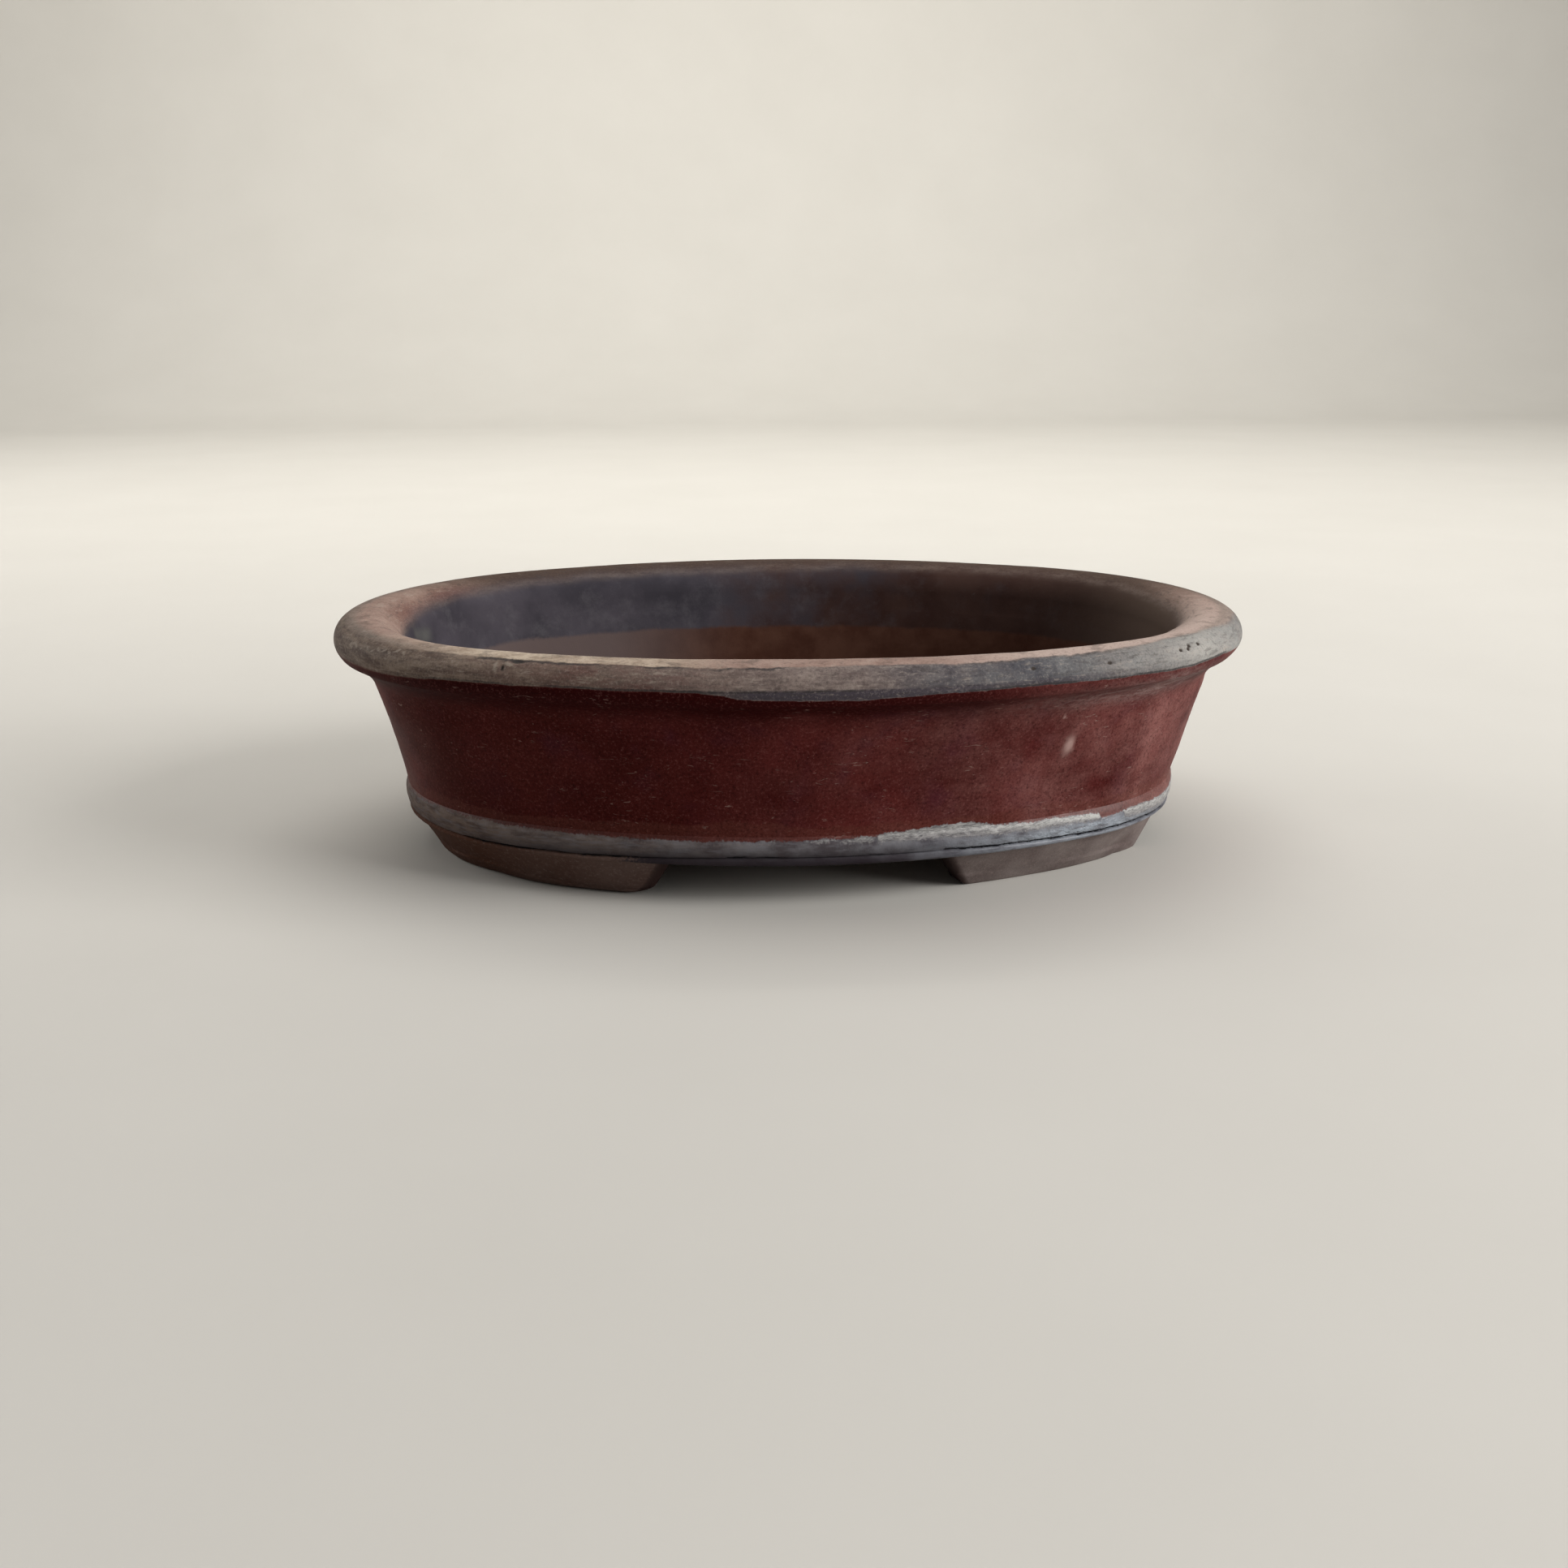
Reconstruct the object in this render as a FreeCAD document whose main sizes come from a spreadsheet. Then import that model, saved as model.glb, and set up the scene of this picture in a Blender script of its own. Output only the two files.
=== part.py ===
import FreeCAD, Part
import math
import os
import Sketcher

# A small oval bonsai pot of glazed stoneware.
#
# Frame: the origin is the middle of the plane that the feet rest on. +X runs along the
# pot's length, +Z is up, and the front of the pot faces -Y.
#
# The pot is put together from eight pieces of clay: an oval floor slab with a thin
# flange round it, an oval wall that stands on the flange and is housed round the slab,
# a rolled rim luted on the wall's top, a belt in a seat round the wall's foot, and four
# curved bracket feet under the flange. The pieces meet face to face.
#
# Every horizontal outline is a four-centre oval: two end arcs centred on the X axis and
# two side arcs centred on the Y axis. All the ovals share those four centres, so one
# number, the reach (half the oval's length), says which of them is meant.

doc = FreeCAD.newDocument("oval_bonsai_pot")

# Driving dimensions in millimetres: alias, value, meaning.
SIZES = [
    ("end_centre", 26.35, "end arc centres, each side of the middle along X"),
    ("side_centre", 49.4, "side arc centres, each side of the middle along Y"),
    ("foot_height", 6.2, "from the resting plane to the slab's underside"),
    ("slab_thickness", 5.0, "the whole floor slab"),
    ("flange_thickness", 1.4, "the slab's flange, under the wall and the belt"),
    ("flange_reach", 60.9, "outer edge of the flange"),
    ("flange_round", 0.8, "rounding of the flange's lower edge"),
    ("slab_reach", 56.0, "edge of the slab above the flange"),
    ("belt_height", 3.0, "the belt, standing on the flange"),
    ("belt_seat_reach", 60.0, "bottom of the seat cut round the wall's foot"),
    ("belt_foot_reach", 60.8, "the belt's outer lower edge"),
    ("belt_bulge", 2.7, "radius of the belt's half-round face"),
    ("wall_foot_reach", 60.9, "outside of the wall just above the belt"),
    ("wall_neck_reach", 64.9, "outside of the wall where the cove begins"),
    ("wall_neck_level", 26.1, "height of that point"),
    ("wall_hollow", 120.0, "radius of the wall's slight outward curve"),
    ("cove_low", 5.5, "radius of the cove on the wall"),
    ("cove_high", 8.0, "radius of the cove under the rim"),
    ("seam_level", 28.3, "joint between the wall and the rim"),
    ("seam_reach", 66.05, "outside of that joint"),
    ("seam_inner_reach", 58.9, "inside of that joint"),
    ("inside_foot_reach", 55.6, "inside of the wall above its fillet"),
    ("inside_fillet_rise", 2.4, "rise of the fillet between wall and floor"),
    ("inside_fillet", 2.6, "radius of that fillet"),
    ("floor_reach", 53.8, "edge of the floor that shows inside"),
    ("mouth_reach", 59.5, "inside of the rim where it starts to roll"),
    ("mouth_level", 31.4, "height of that point"),
    ("mouth_roll", 5.5, "radius of the rim's inner slope"),
    ("crest_inner_reach", 63.9, "inner end of the rim's crest"),
    ("crest_outer_reach", 67.43, "outer end of the rim's crest"),
    ("crest_level", 36.3, "height of both ends of the crest"),
    ("crest_crown", 12.0, "radius of the crest's crown"),
    ("rim_roll", 3.2, "radius of the rim's outer roll"),
    ("roll_low_reach", 69.83, "lower end of the outer roll"),
    ("roll_low_level", 31.04, "height of that end"),
    ("cove_top_reach", 67.9, "upper end of the cove under the rim"),
    ("cove_top_level", 29.95, "height of that end"),
    ("foot_top_reach", 60.0, "outside of the feet under the flange"),
    ("foot_sole_reach", 56.0, "outside of the feet at the resting plane"),
    ("foot_inner_reach", 51.6, "inside of the feet"),
    ("foot_round", 0.6, "rounding of the soles' edges"),
    ("front_gap_sole", 22.8, "half the gap between front feet, at the soles"),
    ("front_gap_top", 19.5, "half of that gap under the flange"),
    ("right_gap_sole", 17.0, "half the gap at the right end, at the soles"),
    ("right_gap_top", 16.0, "half of that gap under the flange"),
    ("left_gap_sole", 9.0, "half the gap at the left end, at the soles"),
    ("left_gap_top", 8.0, "half of that gap under the flange"),
    ("drain_radius", 7.5, "the two drainage holes"),
    ("drain_offset", 24.0, "drainage holes, each side of the middle"),
    ("wire_radius", 1.6, "the four tie-wire holes"),
    ("wire_offset_x", 39.0, "tie-wire holes, each side of the middle along X"),
    ("wire_offset_y", 13.0, "tie-wire holes, each side of the middle along Y"),
]

sheet = doc.addObject("Spreadsheet::Sheet", "Sizes")
value = {}
for row, (alias, size, meaning) in enumerate(SIZES, start=1):
    sheet.set(f"A{row}", alias)
    sheet.set(f"B{row}", str(size))
    sheet.setAlias(f"B{row}", alias)
    sheet.set(f"C{row}", meaning)
    value[alias] = size
doc.recompute()

# How far each end arc's centre lies from each side arc's centre.
CENTRES_APART = "sqrt(Sizes.end_centre ^ 2 + Sizes.side_centre ^ 2)"
# How much shorter than its reach an oval is along Y, the same for every oval.
DROP = f"(Sizes.end_centre + Sizes.side_centre - {CENTRES_APART})"
# The azimuth of the point where end and side arcs meet, measured from the Y axis.
MEETING = "atan(Sizes.end_centre / Sizes.side_centre)"

# Heights that are sums of driving dimensions.
FLANGE_TOP = "foot_height + flange_thickness"
SLAB_TOP = "foot_height + slab_thickness"
BELT_TOP = "foot_height + flange_thickness + belt_height"
FILLET_TOP = "foot_height + slab_thickness + inside_fillet_rise"


def formula(words):
    """Sheet expression for a sum of aliases, such as 'a + b'."""
    return " + ".join("Sizes." + word.strip() for word in words.split("+") if word.strip())


def number(words):
    """The same sum as a plain number, to draw a sketch near its final shape."""
    return sum(value[word.strip()] for word in words.split("+"))


def drop_number():
    """DROP as a plain number."""
    ends, sides = value["end_centre"], value["side_centre"]
    return ends + sides - math.hypot(ends, sides)


def origin_plane(body, role):
    """One of the body's own origin planes, found by its role."""
    return next(item for item in body.Origin.OriginFeatures if item.Role == role)


def new_body(label):
    """An empty body, which becomes one clay piece."""
    body = doc.addObject("PartDesign::Body", label)
    body.Label = label
    body.Placement = FreeCAD.Placement()
    return body


def new_sketch(body, name, role, lift=None):
    """A sketch on one of the body's origin planes, raised by the sum of aliases lift."""
    sketch = body.newObject("Sketcher::SketchObject", name)
    sketch.AttachmentSupport = [(origin_plane(body, role), "")]
    sketch.MapMode = "FlatFace"
    if lift:
        sketch.setExpression("AttachmentOffset.Base.z", formula(lift))
    return sketch


def bind(sketch, constraint, expression):
    """Add a dimension to the sketch and tie it to the sheet."""
    index = sketch.addConstraint(constraint)
    sketch.setExpression(f"Constraints[{index}]", expression)


def bind_across(sketch, edge, point, across, side, expression):
    """Tie how far a sketch point lies from the vertical axis; side is +1 or -1."""
    if side > 0:
        bind(sketch, Sketcher.Constraint("DistanceX", -1, 1, edge, point, across), expression)
    else:
        bind(sketch, Sketcher.Constraint("DistanceX", edge, point, -1, 1, across), expression)


def bind_up(sketch, edge, point, up, side, expression):
    """Tie how far a sketch point lies from the horizontal axis; side is +1 or -1."""
    if side > 0:
        bind(sketch, Sketcher.Constraint("DistanceY", -1, 1, edge, point, up), expression)
    else:
        bind(sketch, Sketcher.Constraint("DistanceY", edge, point, -1, 1, up), expression)


def arc_between(start, end, radius, bend):
    """The minor arc from start to end; bend +1 turns left on the way, -1 turns right."""
    middle = (start + end) * 0.5
    chord = end - start
    across = FreeCAD.Vector(-chord.y, chord.x, 0).normalize()
    height = math.sqrt(radius ** 2 - (chord.Length / 2) ** 2)
    centre = middle + across * (bend * height)
    if bend > 0:
        first, last = start - centre, end - centre
    else:
        first, last = end - centre, start - centre
    begin = math.atan2(first.y, first.x)
    finish = math.atan2(last.y, last.x)
    circle = Part.Circle(centre, FreeCAD.Vector(0, 0, 1), radius)
    return Part.ArcOfCircle(circle, begin, finish)


def draw_profile(sketch, corners, shift, shift_words, side):
    """Draw a closed profile of lines and arcs and tie every corner to the sheet.

    corners holds (reach, level, bend, radius): the sums of aliases that place a corner,
    and how the edge that leaves it bends. bend 0 is a straight edge. shift is taken off
    each reach, and side -1 draws the profile on the axis's negative side.
    """
    places = []
    for reach, level, _, _ in corners:
        places.append(FreeCAD.Vector(side * (number(reach) - shift), number(level), 0))
    ends = []
    for index, (reach, level, bend, radius) in enumerate(corners):
        start = places[index]
        end = places[(index + 1) % len(places)]
        turn = bend * side
        if turn == 0:
            edge = sketch.addGeometry(Part.LineSegment(start, end), False)
        else:
            edge = sketch.addGeometry(arc_between(start, end, number(radius), turn), False)
            bind(sketch, Sketcher.Constraint("Radius", edge, number(radius)), formula(radius))
        ends.append((edge, 2 if turn < 0 else 1, 1 if turn < 0 else 2))
    for index, (edge, start_point, _) in enumerate(ends):
        before, _, end_point = ends[index - 1]
        sketch.addConstraint(Sketcher.Constraint("Coincident", before, end_point, edge, start_point))
        reach, level, _, _ = corners[index]
        across = number(reach) - shift
        bind_across(sketch, edge, start_point, across, side, formula(reach) + shift_words)
        if number(level) > 0:
            bind_up(sketch, edge, start_point, number(level), 1, formula(level))
        else:
            sketch.addConstraint(Sketcher.Constraint("PointOnObject", edge, start_point, -1))


def draw_axis(sketch, across, side, expression):
    """A construction line along the vertical axis that the profile is turned about."""
    foot = FreeCAD.Vector(side * across, 0, 0)
    line = sketch.addGeometry(Part.LineSegment(foot, foot + FreeCAD.Vector(0, 10, 0)), True)
    sketch.addConstraint(Sketcher.Constraint("Vertical", line))
    sketch.addConstraint(Sketcher.Constraint("PointOnObject", line, 1, -1))
    sketch.addConstraint(Sketcher.Constraint("DistanceY", line, 1, line, 2, 10.0))
    bind_across(sketch, line, 1, across, side, expression)


def turn(body, name, sketch, angle):
    """Turn a sketch about its construction line, half of the angle to each side."""
    feature = body.newObject("PartDesign::Revolution", name)
    feature.Profile = sketch
    feature.ReferenceAxis = (sketch, ["Axis0"])
    feature.Midplane = True
    feature.setExpression("Angle", angle)
    doc.recompute()
    return feature


def mirror(body, name, feature, role):
    """Repeat a feature on the other side of one of the body's origin planes."""
    copy = body.newObject("PartDesign::Mirrored", name)
    copy.Originals = [feature]
    copy.MirrorPlane = (origin_plane(body, role), [""])
    body.Tip = copy
    doc.recompute()
    return copy


def turn_end(body, corners, side):
    """The stretch of an oval piece round one end; side is the sign of X."""
    sketch = new_sketch(body, body.Name + "_end_profile", "XZ_Plane")
    draw_axis(sketch, value["end_centre"], side, "Sizes.end_centre")
    draw_profile(sketch, corners, 0.0, "", side)
    return turn(body, body.Name + "_end", sketch, f"180 deg - 2 * {MEETING}")


def turn_side(body, corners, side):
    """The stretch of an oval piece along one side; side is the sign of Y."""
    sketch = new_sketch(body, body.Name + "_side_profile", "YZ_Plane")
    draw_axis(sketch, value["side_centre"], -side, "Sizes.side_centre")
    draw_profile(sketch, corners, drop_number(), " - " + DROP, side)
    return turn(body, body.Name + "_side", sketch, f"2 * {MEETING}")


def oval_ring(label, corners):
    """A clay piece that runs all the way round the pot with one profile."""
    body = new_body(label)
    end = turn_end(body, corners, 1)
    side = turn_side(body, corners, 1)
    mirror(body, label + "_other_end", end, "YZ_Plane")
    mirror(body, label + "_other_side", side, "XZ_Plane")
    return body


def draw_oval(sketch, reach):
    """A closed four-centre oval of the given reach, tied at its four meeting points."""
    ends, sides = value["end_centre"], value["side_centre"]
    end_radius = value[reach] - ends
    across = ends * (1 + end_radius / math.hypot(ends, sides))
    up = sides * end_radius / math.hypot(ends, sides)
    end_words = f"(Sizes.{reach} - Sizes.end_centre)"
    across_words = f"Sizes.end_centre * (1 + {end_words} / {CENTRES_APART})"
    up_words = f"Sizes.side_centre * {end_words} / {CENTRES_APART}"
    side_radius = end_radius + math.hypot(ends, sides)
    side_words = f"{end_words} + {CENTRES_APART}"
    meetings = [(1, -1), (1, 1), (-1, 1), (-1, -1)]
    radii = [(end_radius, end_words), (side_radius, side_words)] * 2
    for index, (radius, radius_words) in enumerate(radii):
        x_side, y_side = meetings[index]
        next_x, next_y = meetings[(index + 1) % 4]
        start = FreeCAD.Vector(x_side * across, y_side * up, 0)
        end = FreeCAD.Vector(next_x * across, next_y * up, 0)
        arc = sketch.addGeometry(arc_between(start, end, radius, 1), False)
        bind(sketch, Sketcher.Constraint("Radius", arc, radius), radius_words)
        bind_across(sketch, arc, 1, across, x_side, across_words)
        bind_up(sketch, arc, 1, up, y_side, up_words)
    for arc in range(4):
        sketch.addConstraint(Sketcher.Constraint("Coincident", arc, 2, (arc + 1) % 4, 1))


def pad_oval(body, name, reach, bottom, thickness):
    """A flat oval plate, from the level bottom upwards."""
    sketch = new_sketch(body, name + "_outline", "XY_Plane", bottom)
    draw_oval(sketch, reach)
    plate = body.newObject("PartDesign::Pad", name)
    plate.Profile = sketch
    plate.setExpression("Length", thickness)
    doc.recompute()
    return plate


def drill(body, name, radius, places):
    """Round holes right through the floor; places holds (x alias, x side, y alias, y side)."""
    sketch = new_sketch(body, name + "_outline", "XY_Plane")
    for x_alias, x_side, y_alias, y_side in places:
        x = x_side * value[x_alias]
        y = y_side * value[y_alias] if y_alias else 0.0
        hole = Part.Circle(FreeCAD.Vector(x, y, 0), FreeCAD.Vector(0, 0, 1), value[radius])
        edge = sketch.addGeometry(hole, False)
        bind(sketch, Sketcher.Constraint("Radius", edge, value[radius]), "Sizes." + radius)
        bind_across(sketch, edge, 3, value[x_alias], x_side, "Sizes." + x_alias)
        if y_alias:
            bind_up(sketch, edge, 3, value[y_alias], y_side, "Sizes." + y_alias)
        else:
            sketch.addConstraint(Sketcher.Constraint("PointOnObject", edge, 3, -1))
    before = body.Shape.Volume
    holes = body.newObject("PartDesign::Pocket", name)
    holes.Profile = sketch
    holes.Type = "ThroughAll"
    holes.Reversed = True
    doc.recompute()
    cut_volume(body, name, before)
    return holes


def cut_volume(body, name, before):
    """Stop if a cut took nothing away, which would mean that it points the wrong way."""
    if body.Shape.Volume > before - 1.0:
        raise ValueError(name + " cuts nothing")


def round_edges(body, name, feature, radius, chosen):
    """Round the edges of the last feature that the test chosen accepts."""
    edges = [f"Edge{i}" for i, edge in enumerate(feature.Shape.Edges, start=1) if chosen(edge)]
    rounding = body.newObject("PartDesign::Fillet", name)
    rounding.Base = (feature, edges)
    rounding.setExpression("Radius", "Sizes." + radius)
    body.Tip = rounding
    doc.recompute()
    return rounding


def at_level(level):
    """A test for edges that lie flat at a height."""
    return lambda edge: all(abs(corner.Z - level) < 1e-4 for corner in edge.Vertexes)


def make_floor_slab():
    """The flat floor: a thin flange, the thicker slab on it, and the holes."""
    body = new_body("floor_slab")
    flange = pad_oval(body, "flange", "flange_reach", "foot_height", "Sizes.flange_thickness")
    low_edge = at_level(value["foot_height"])
    round_edges(body, "flange_edge", flange, "flange_round", low_edge)
    rise = "Sizes.slab_thickness - Sizes.flange_thickness"
    pad_oval(body, "slab", "slab_reach", FLANGE_TOP, rise)
    drains = [("drain_offset", side, None, 0) for side in (1, -1)]
    drill(body, "drain_holes", "drain_radius", drains)
    wires = []
    for x_side in (1, -1):
        for y_side in (1, -1):
            wires.append(("wire_offset_x", x_side, "wire_offset_y", y_side))
    drill(body, "wire_holes", "wire_radius", wires)
    return body


def make_wall():
    """The flared wall, with the belt's seat outside and a rebate for the slab inside."""
    corners = [
        ("belt_seat_reach", FLANGE_TOP, 0, None),
        ("belt_seat_reach", BELT_TOP, 0, None),
        ("wall_foot_reach", BELT_TOP, -1, "wall_hollow"),
        ("wall_neck_reach", "wall_neck_level", -1, "cove_low"),
        ("seam_reach", "seam_level", 0, None),
        ("seam_inner_reach", "seam_level", 0, None),
        ("inside_foot_reach", FILLET_TOP, -1, "inside_fillet"),
        ("floor_reach", SLAB_TOP, 0, None),
        ("slab_reach", SLAB_TOP, 0, None),
        ("slab_reach", FLANGE_TOP, 0, None),
    ]
    return oval_ring("wall", corners)


def make_rim():
    """The rolled lip: inner slope, crowned crest, half-round outer roll and cove."""
    corners = [
        ("seam_inner_reach", "seam_level", 0, None),
        ("seam_reach", "seam_level", -1, "cove_high"),
        ("cove_top_reach", "cove_top_level", 0, None),
        ("roll_low_reach", "roll_low_level", 1, "rim_roll"),
        ("crest_outer_reach", "crest_level", 1, "crest_crown"),
        ("crest_inner_reach", "crest_level", 1, "mouth_roll"),
        ("mouth_reach", "mouth_level", 0, None),
    ]
    return oval_ring("rim", corners)


def make_belt():
    """The half-round band in its seat round the wall's foot."""
    corners = [
        ("belt_seat_reach", FLANGE_TOP, 0, None),
        ("belt_foot_reach", FLANGE_TOP, 1, "belt_bulge"),
        ("wall_foot_reach", BELT_TOP, 0, None),
        ("belt_seat_reach", BELT_TOP, 0, None),
    ]
    return oval_ring("belt", corners)


def cut_end(body, name, role, gap_sole, gap_top, side):
    """Cut a foot back to the sloping end of a gap, seen along the plane's normal."""
    sketch = new_sketch(body, name + "_outline", role)
    past = 2 * value["flange_reach"]
    sole, top, height = value[gap_sole], value[gap_top], value["foot_height"]
    places = [
        FreeCAD.Vector(side * sole, 0, 0),
        FreeCAD.Vector(side * top, height, 0),
        FreeCAD.Vector(-side * past, height, 0),
        FreeCAD.Vector(-side * past, 0, 0),
    ]
    for start, end in zip(places, places[1:] + places[:1]):
        sketch.addGeometry(Part.LineSegment(start, end), False)
    for edge in range(4):
        sketch.addConstraint(Sketcher.Constraint("Coincident", edge, 2, (edge + 1) % 4, 1))
    sketch.addConstraint(Sketcher.Constraint("Horizontal", 1))
    sketch.addConstraint(Sketcher.Constraint("Vertical", 2))
    sketch.addConstraint(Sketcher.Constraint("PointOnObject", 0, 1, -1))
    sketch.addConstraint(Sketcher.Constraint("PointOnObject", 2, 2, -1))
    bind_across(sketch, 0, 1, sole, side, "Sizes." + gap_sole)
    bind_across(sketch, 0, 2, top, side, "Sizes." + gap_top)
    bind_up(sketch, 0, 2, height, 1, "Sizes.foot_height")
    bind_across(sketch, 2, 2, past, -side, "2 * Sizes.flange_reach")
    before = body.Shape.Volume
    cut = body.newObject("PartDesign::Pocket", name)
    cut.Profile = sketch
    cut.Type = "ThroughAll"
    cut.Midplane = True
    doc.recompute()
    cut_volume(body, name, before)
    return cut


def make_foot(label, x_side, y_side, gap_sole, gap_top):
    """One bracket foot: a quarter of a tapering ring with sloping ends."""
    corners = [
        ("foot_inner_reach", "ground", 0, None),
        ("foot_sole_reach", "ground", 0, None),
        ("foot_top_reach", "foot_height", 0, None),
        ("foot_inner_reach", "foot_height", 0, None),
    ]
    body = new_body(label)
    turn_end(body, corners, x_side)
    turn_side(body, corners, y_side)
    cut_end(body, label + "_long_end", "XZ_Plane", "front_gap_sole", "front_gap_top", x_side)
    last = cut_end(body, label + "_short_end", "YZ_Plane", gap_sole, gap_top, y_side)
    round_edges(body, label + "_sole_edge", last, "foot_round", at_level(0.0))
    return body


value["ground"] = 0.0
pieces = [make_floor_slab(), make_wall(), make_rim(), make_belt()]
for y_name, y_side in (("front", -1), ("back", 1)):
    for x_name, x_side in (("left", -1), ("right", 1)):
        label = f"foot_{y_name}_{x_name}"
        gaps = (x_name + "_gap_sole", x_name + "_gap_top")
        pieces.append(make_foot(label, x_side, y_side, *gaps))
doc.recompute()

for item in doc.Objects:
    if "Invalid" in item.State or "Error" in item.State:
        raise ValueError(item.Label + " is " + ", ".join(item.State))
for piece in pieces:
    if piece.Shape.isNull() or not piece.Shape.isValid() or len(piece.Shape.Solids) != 1:
        raise ValueError(piece.Label + " is not one valid solid")

os.makedirs("parts", exist_ok=True)
for piece in pieces:
    piece.Shape.exportStep(f"parts/{piece.Label}.step")
    box = piece.Shape.optimalBoundingBox()
    size = f"{box.XLength:.2f} x {box.YLength:.2f} x {box.ZLength:.2f}"
    print(f"{piece.Label}: {size} mm, {piece.Shape.Volume:.0f} mm3")
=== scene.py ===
"""The looks of an oval glazed bonsai pot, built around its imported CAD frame.

Sizes are in millimetres unless said. A point on the pot is given by its angle (degrees round the
oval, 0 at the middle of the front, 90 at the right end), its reach (how long the oval through it
is, from the middle to its end) and its level above the sole.
"""

import math

import bmesh
import bpy
import numpy as np
from mathutils import Matrix, Vector
from mathutils.geometry import delaunay_2d_cdt


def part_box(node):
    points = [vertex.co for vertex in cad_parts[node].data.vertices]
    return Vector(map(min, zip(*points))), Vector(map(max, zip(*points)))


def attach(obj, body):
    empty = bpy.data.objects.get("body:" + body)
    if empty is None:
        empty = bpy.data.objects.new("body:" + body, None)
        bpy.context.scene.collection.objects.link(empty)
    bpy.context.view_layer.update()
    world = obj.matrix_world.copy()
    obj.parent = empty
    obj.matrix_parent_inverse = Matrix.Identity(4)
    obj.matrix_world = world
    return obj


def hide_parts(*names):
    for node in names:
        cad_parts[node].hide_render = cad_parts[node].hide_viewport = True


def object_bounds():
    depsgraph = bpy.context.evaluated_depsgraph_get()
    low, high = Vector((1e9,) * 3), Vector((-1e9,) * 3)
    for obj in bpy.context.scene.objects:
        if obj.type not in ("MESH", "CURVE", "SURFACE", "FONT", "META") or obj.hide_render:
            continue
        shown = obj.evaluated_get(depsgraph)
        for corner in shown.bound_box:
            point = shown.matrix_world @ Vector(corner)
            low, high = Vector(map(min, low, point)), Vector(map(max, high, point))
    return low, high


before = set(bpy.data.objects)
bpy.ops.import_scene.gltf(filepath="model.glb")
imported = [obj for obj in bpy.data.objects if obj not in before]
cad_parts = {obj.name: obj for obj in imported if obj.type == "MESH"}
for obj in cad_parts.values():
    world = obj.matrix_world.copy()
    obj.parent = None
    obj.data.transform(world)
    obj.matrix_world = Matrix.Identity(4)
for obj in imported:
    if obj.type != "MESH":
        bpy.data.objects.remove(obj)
cad_low, cad_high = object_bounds()

MM = 0.001

# ---- the oval, from the frame
END_CENTRE = 26.35
SIDE_CENTRE = 49.4
HALF_LENGTH = cad_high.x / MM
SIDE_DROP = HALF_LENGTH - cad_high.y / MM
TURN = math.degrees(math.atan2(END_CENTRE, SIDE_CENTRE))

SLAB_LOW, SLAB_HIGH = (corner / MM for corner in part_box("floor_slab"))
BELT_LOW, BELT_HIGH = (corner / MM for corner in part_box("belt"))
RIM_LOW, RIM_HIGH = (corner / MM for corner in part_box("rim"))
SEAT = SLAB_LOW.z
PARTING = BELT_LOW.z
BELT_TOP = BELT_HIGH.z
FLOOR_TOP = SLAB_HIGH.z
SEAM = RIM_LOW.z
CREST = RIM_HIGH.z

# ---- the section, reach and level
SLAB_REACH = 56.0
FLANGE_REACH = SLAB_HIGH.x
FLANGE_ROUND, HOLE_ROUND = 0.65, 0.5
BELT_SEAT_REACH, BELT_FOOT_REACH = 60.0, 60.8
WALL_FOOT = (60.9, BELT_TOP)
WALL_NECK = (64.9, 26.1)
SEAM_OUTER = (66.05, SEAM)
SEAM_INNER = (58.9, SEAM)
INSIDE_FOOT = (55.6, 13.6)
INSIDE_FLOOR = (53.8, FLOOR_TOP)
MOUTH = (59.5, 31.4)
CREST_INNER = (63.9, CREST - 0.13)
CREST_OUTER = (67.43, CREST - 0.13)
ROLL_LOW = (69.83, 31.04)
COVE_TOP = (67.9, 29.95)
WALL_HOLLOW, COVE_LOW, COVE_HIGH = 120.0, 5.5, 8.0
INSIDE_FILLET, MOUTH_ROLL, CREST_CROWN, RIM_ROLL = 2.6, 5.5, 12.0, 3.2
BELT_BULGE = 2.7

FOOT_TOP_REACH, FOOT_INNER_REACH = 60.0, 51.6
FOOT_LENGTH, FOOT_STEP = 36.0, 0.33
DRAIN_AT, DRAIN_RADIUS = 24.0, 7.5
WIRE_AT, WIRE_RADIUS = (39.0, 13.0), 1.6
RIGHT_LIP_DROP, RIGHT_LIP_LIFT = 0.35, 0.6
MOUTH_WIDENING, MOUTH_DROP = 0.9, 0.3
RIGHT_WALL_BULGE = 0.5

SLAB_GLOSS_AND_PAINTED_SHEEN, WEAR_WIDTH = 0.55, 0.45

AROUND = 1000
EVEN_REACH = 66.0
SHARP_EDGE = math.radians(48)
LATTICE = 64


# ---- small sums
def rise(value, low, high):
    """0 up to low, 1 from high on, and a smooth step between."""
    share = np.clip((value - low) / (high - low), 0, 1)
    return share * share * (3 - 2 * share)


def hump(value, middle, width):
    """A smooth bump, 1 at the middle."""
    return np.exp(-(((value - middle) / width) ** 2))


def around(angle, stations):
    """A value given at a few angles (or shares of a length), in straight stretches between."""
    angles, values = zip(*stations)
    return np.interp(angle, angles, values, period=360)


def noise(points, cell, seed):
    """Smooth noise from -1 to 1, with lumps about one cell across."""
    table = np.random.default_rng(seed).uniform(-1, 1, (LATTICE,) * 3)
    place = points / cell + 17.3
    whole = np.floor(place).astype(int)
    part = place - whole
    part = part * part * (3 - 2 * part)
    total = np.zeros(len(points))
    for corner in np.ndindex(2, 2, 2):
        share = np.prod(np.where(np.array(corner) == 1, part, 1 - part), axis=1)
        knot = (whole + np.array(corner)) % LATTICE
        total += share * table[knot[:, 0], knot[:, 1], knot[:, 2]]
    return total


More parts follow.
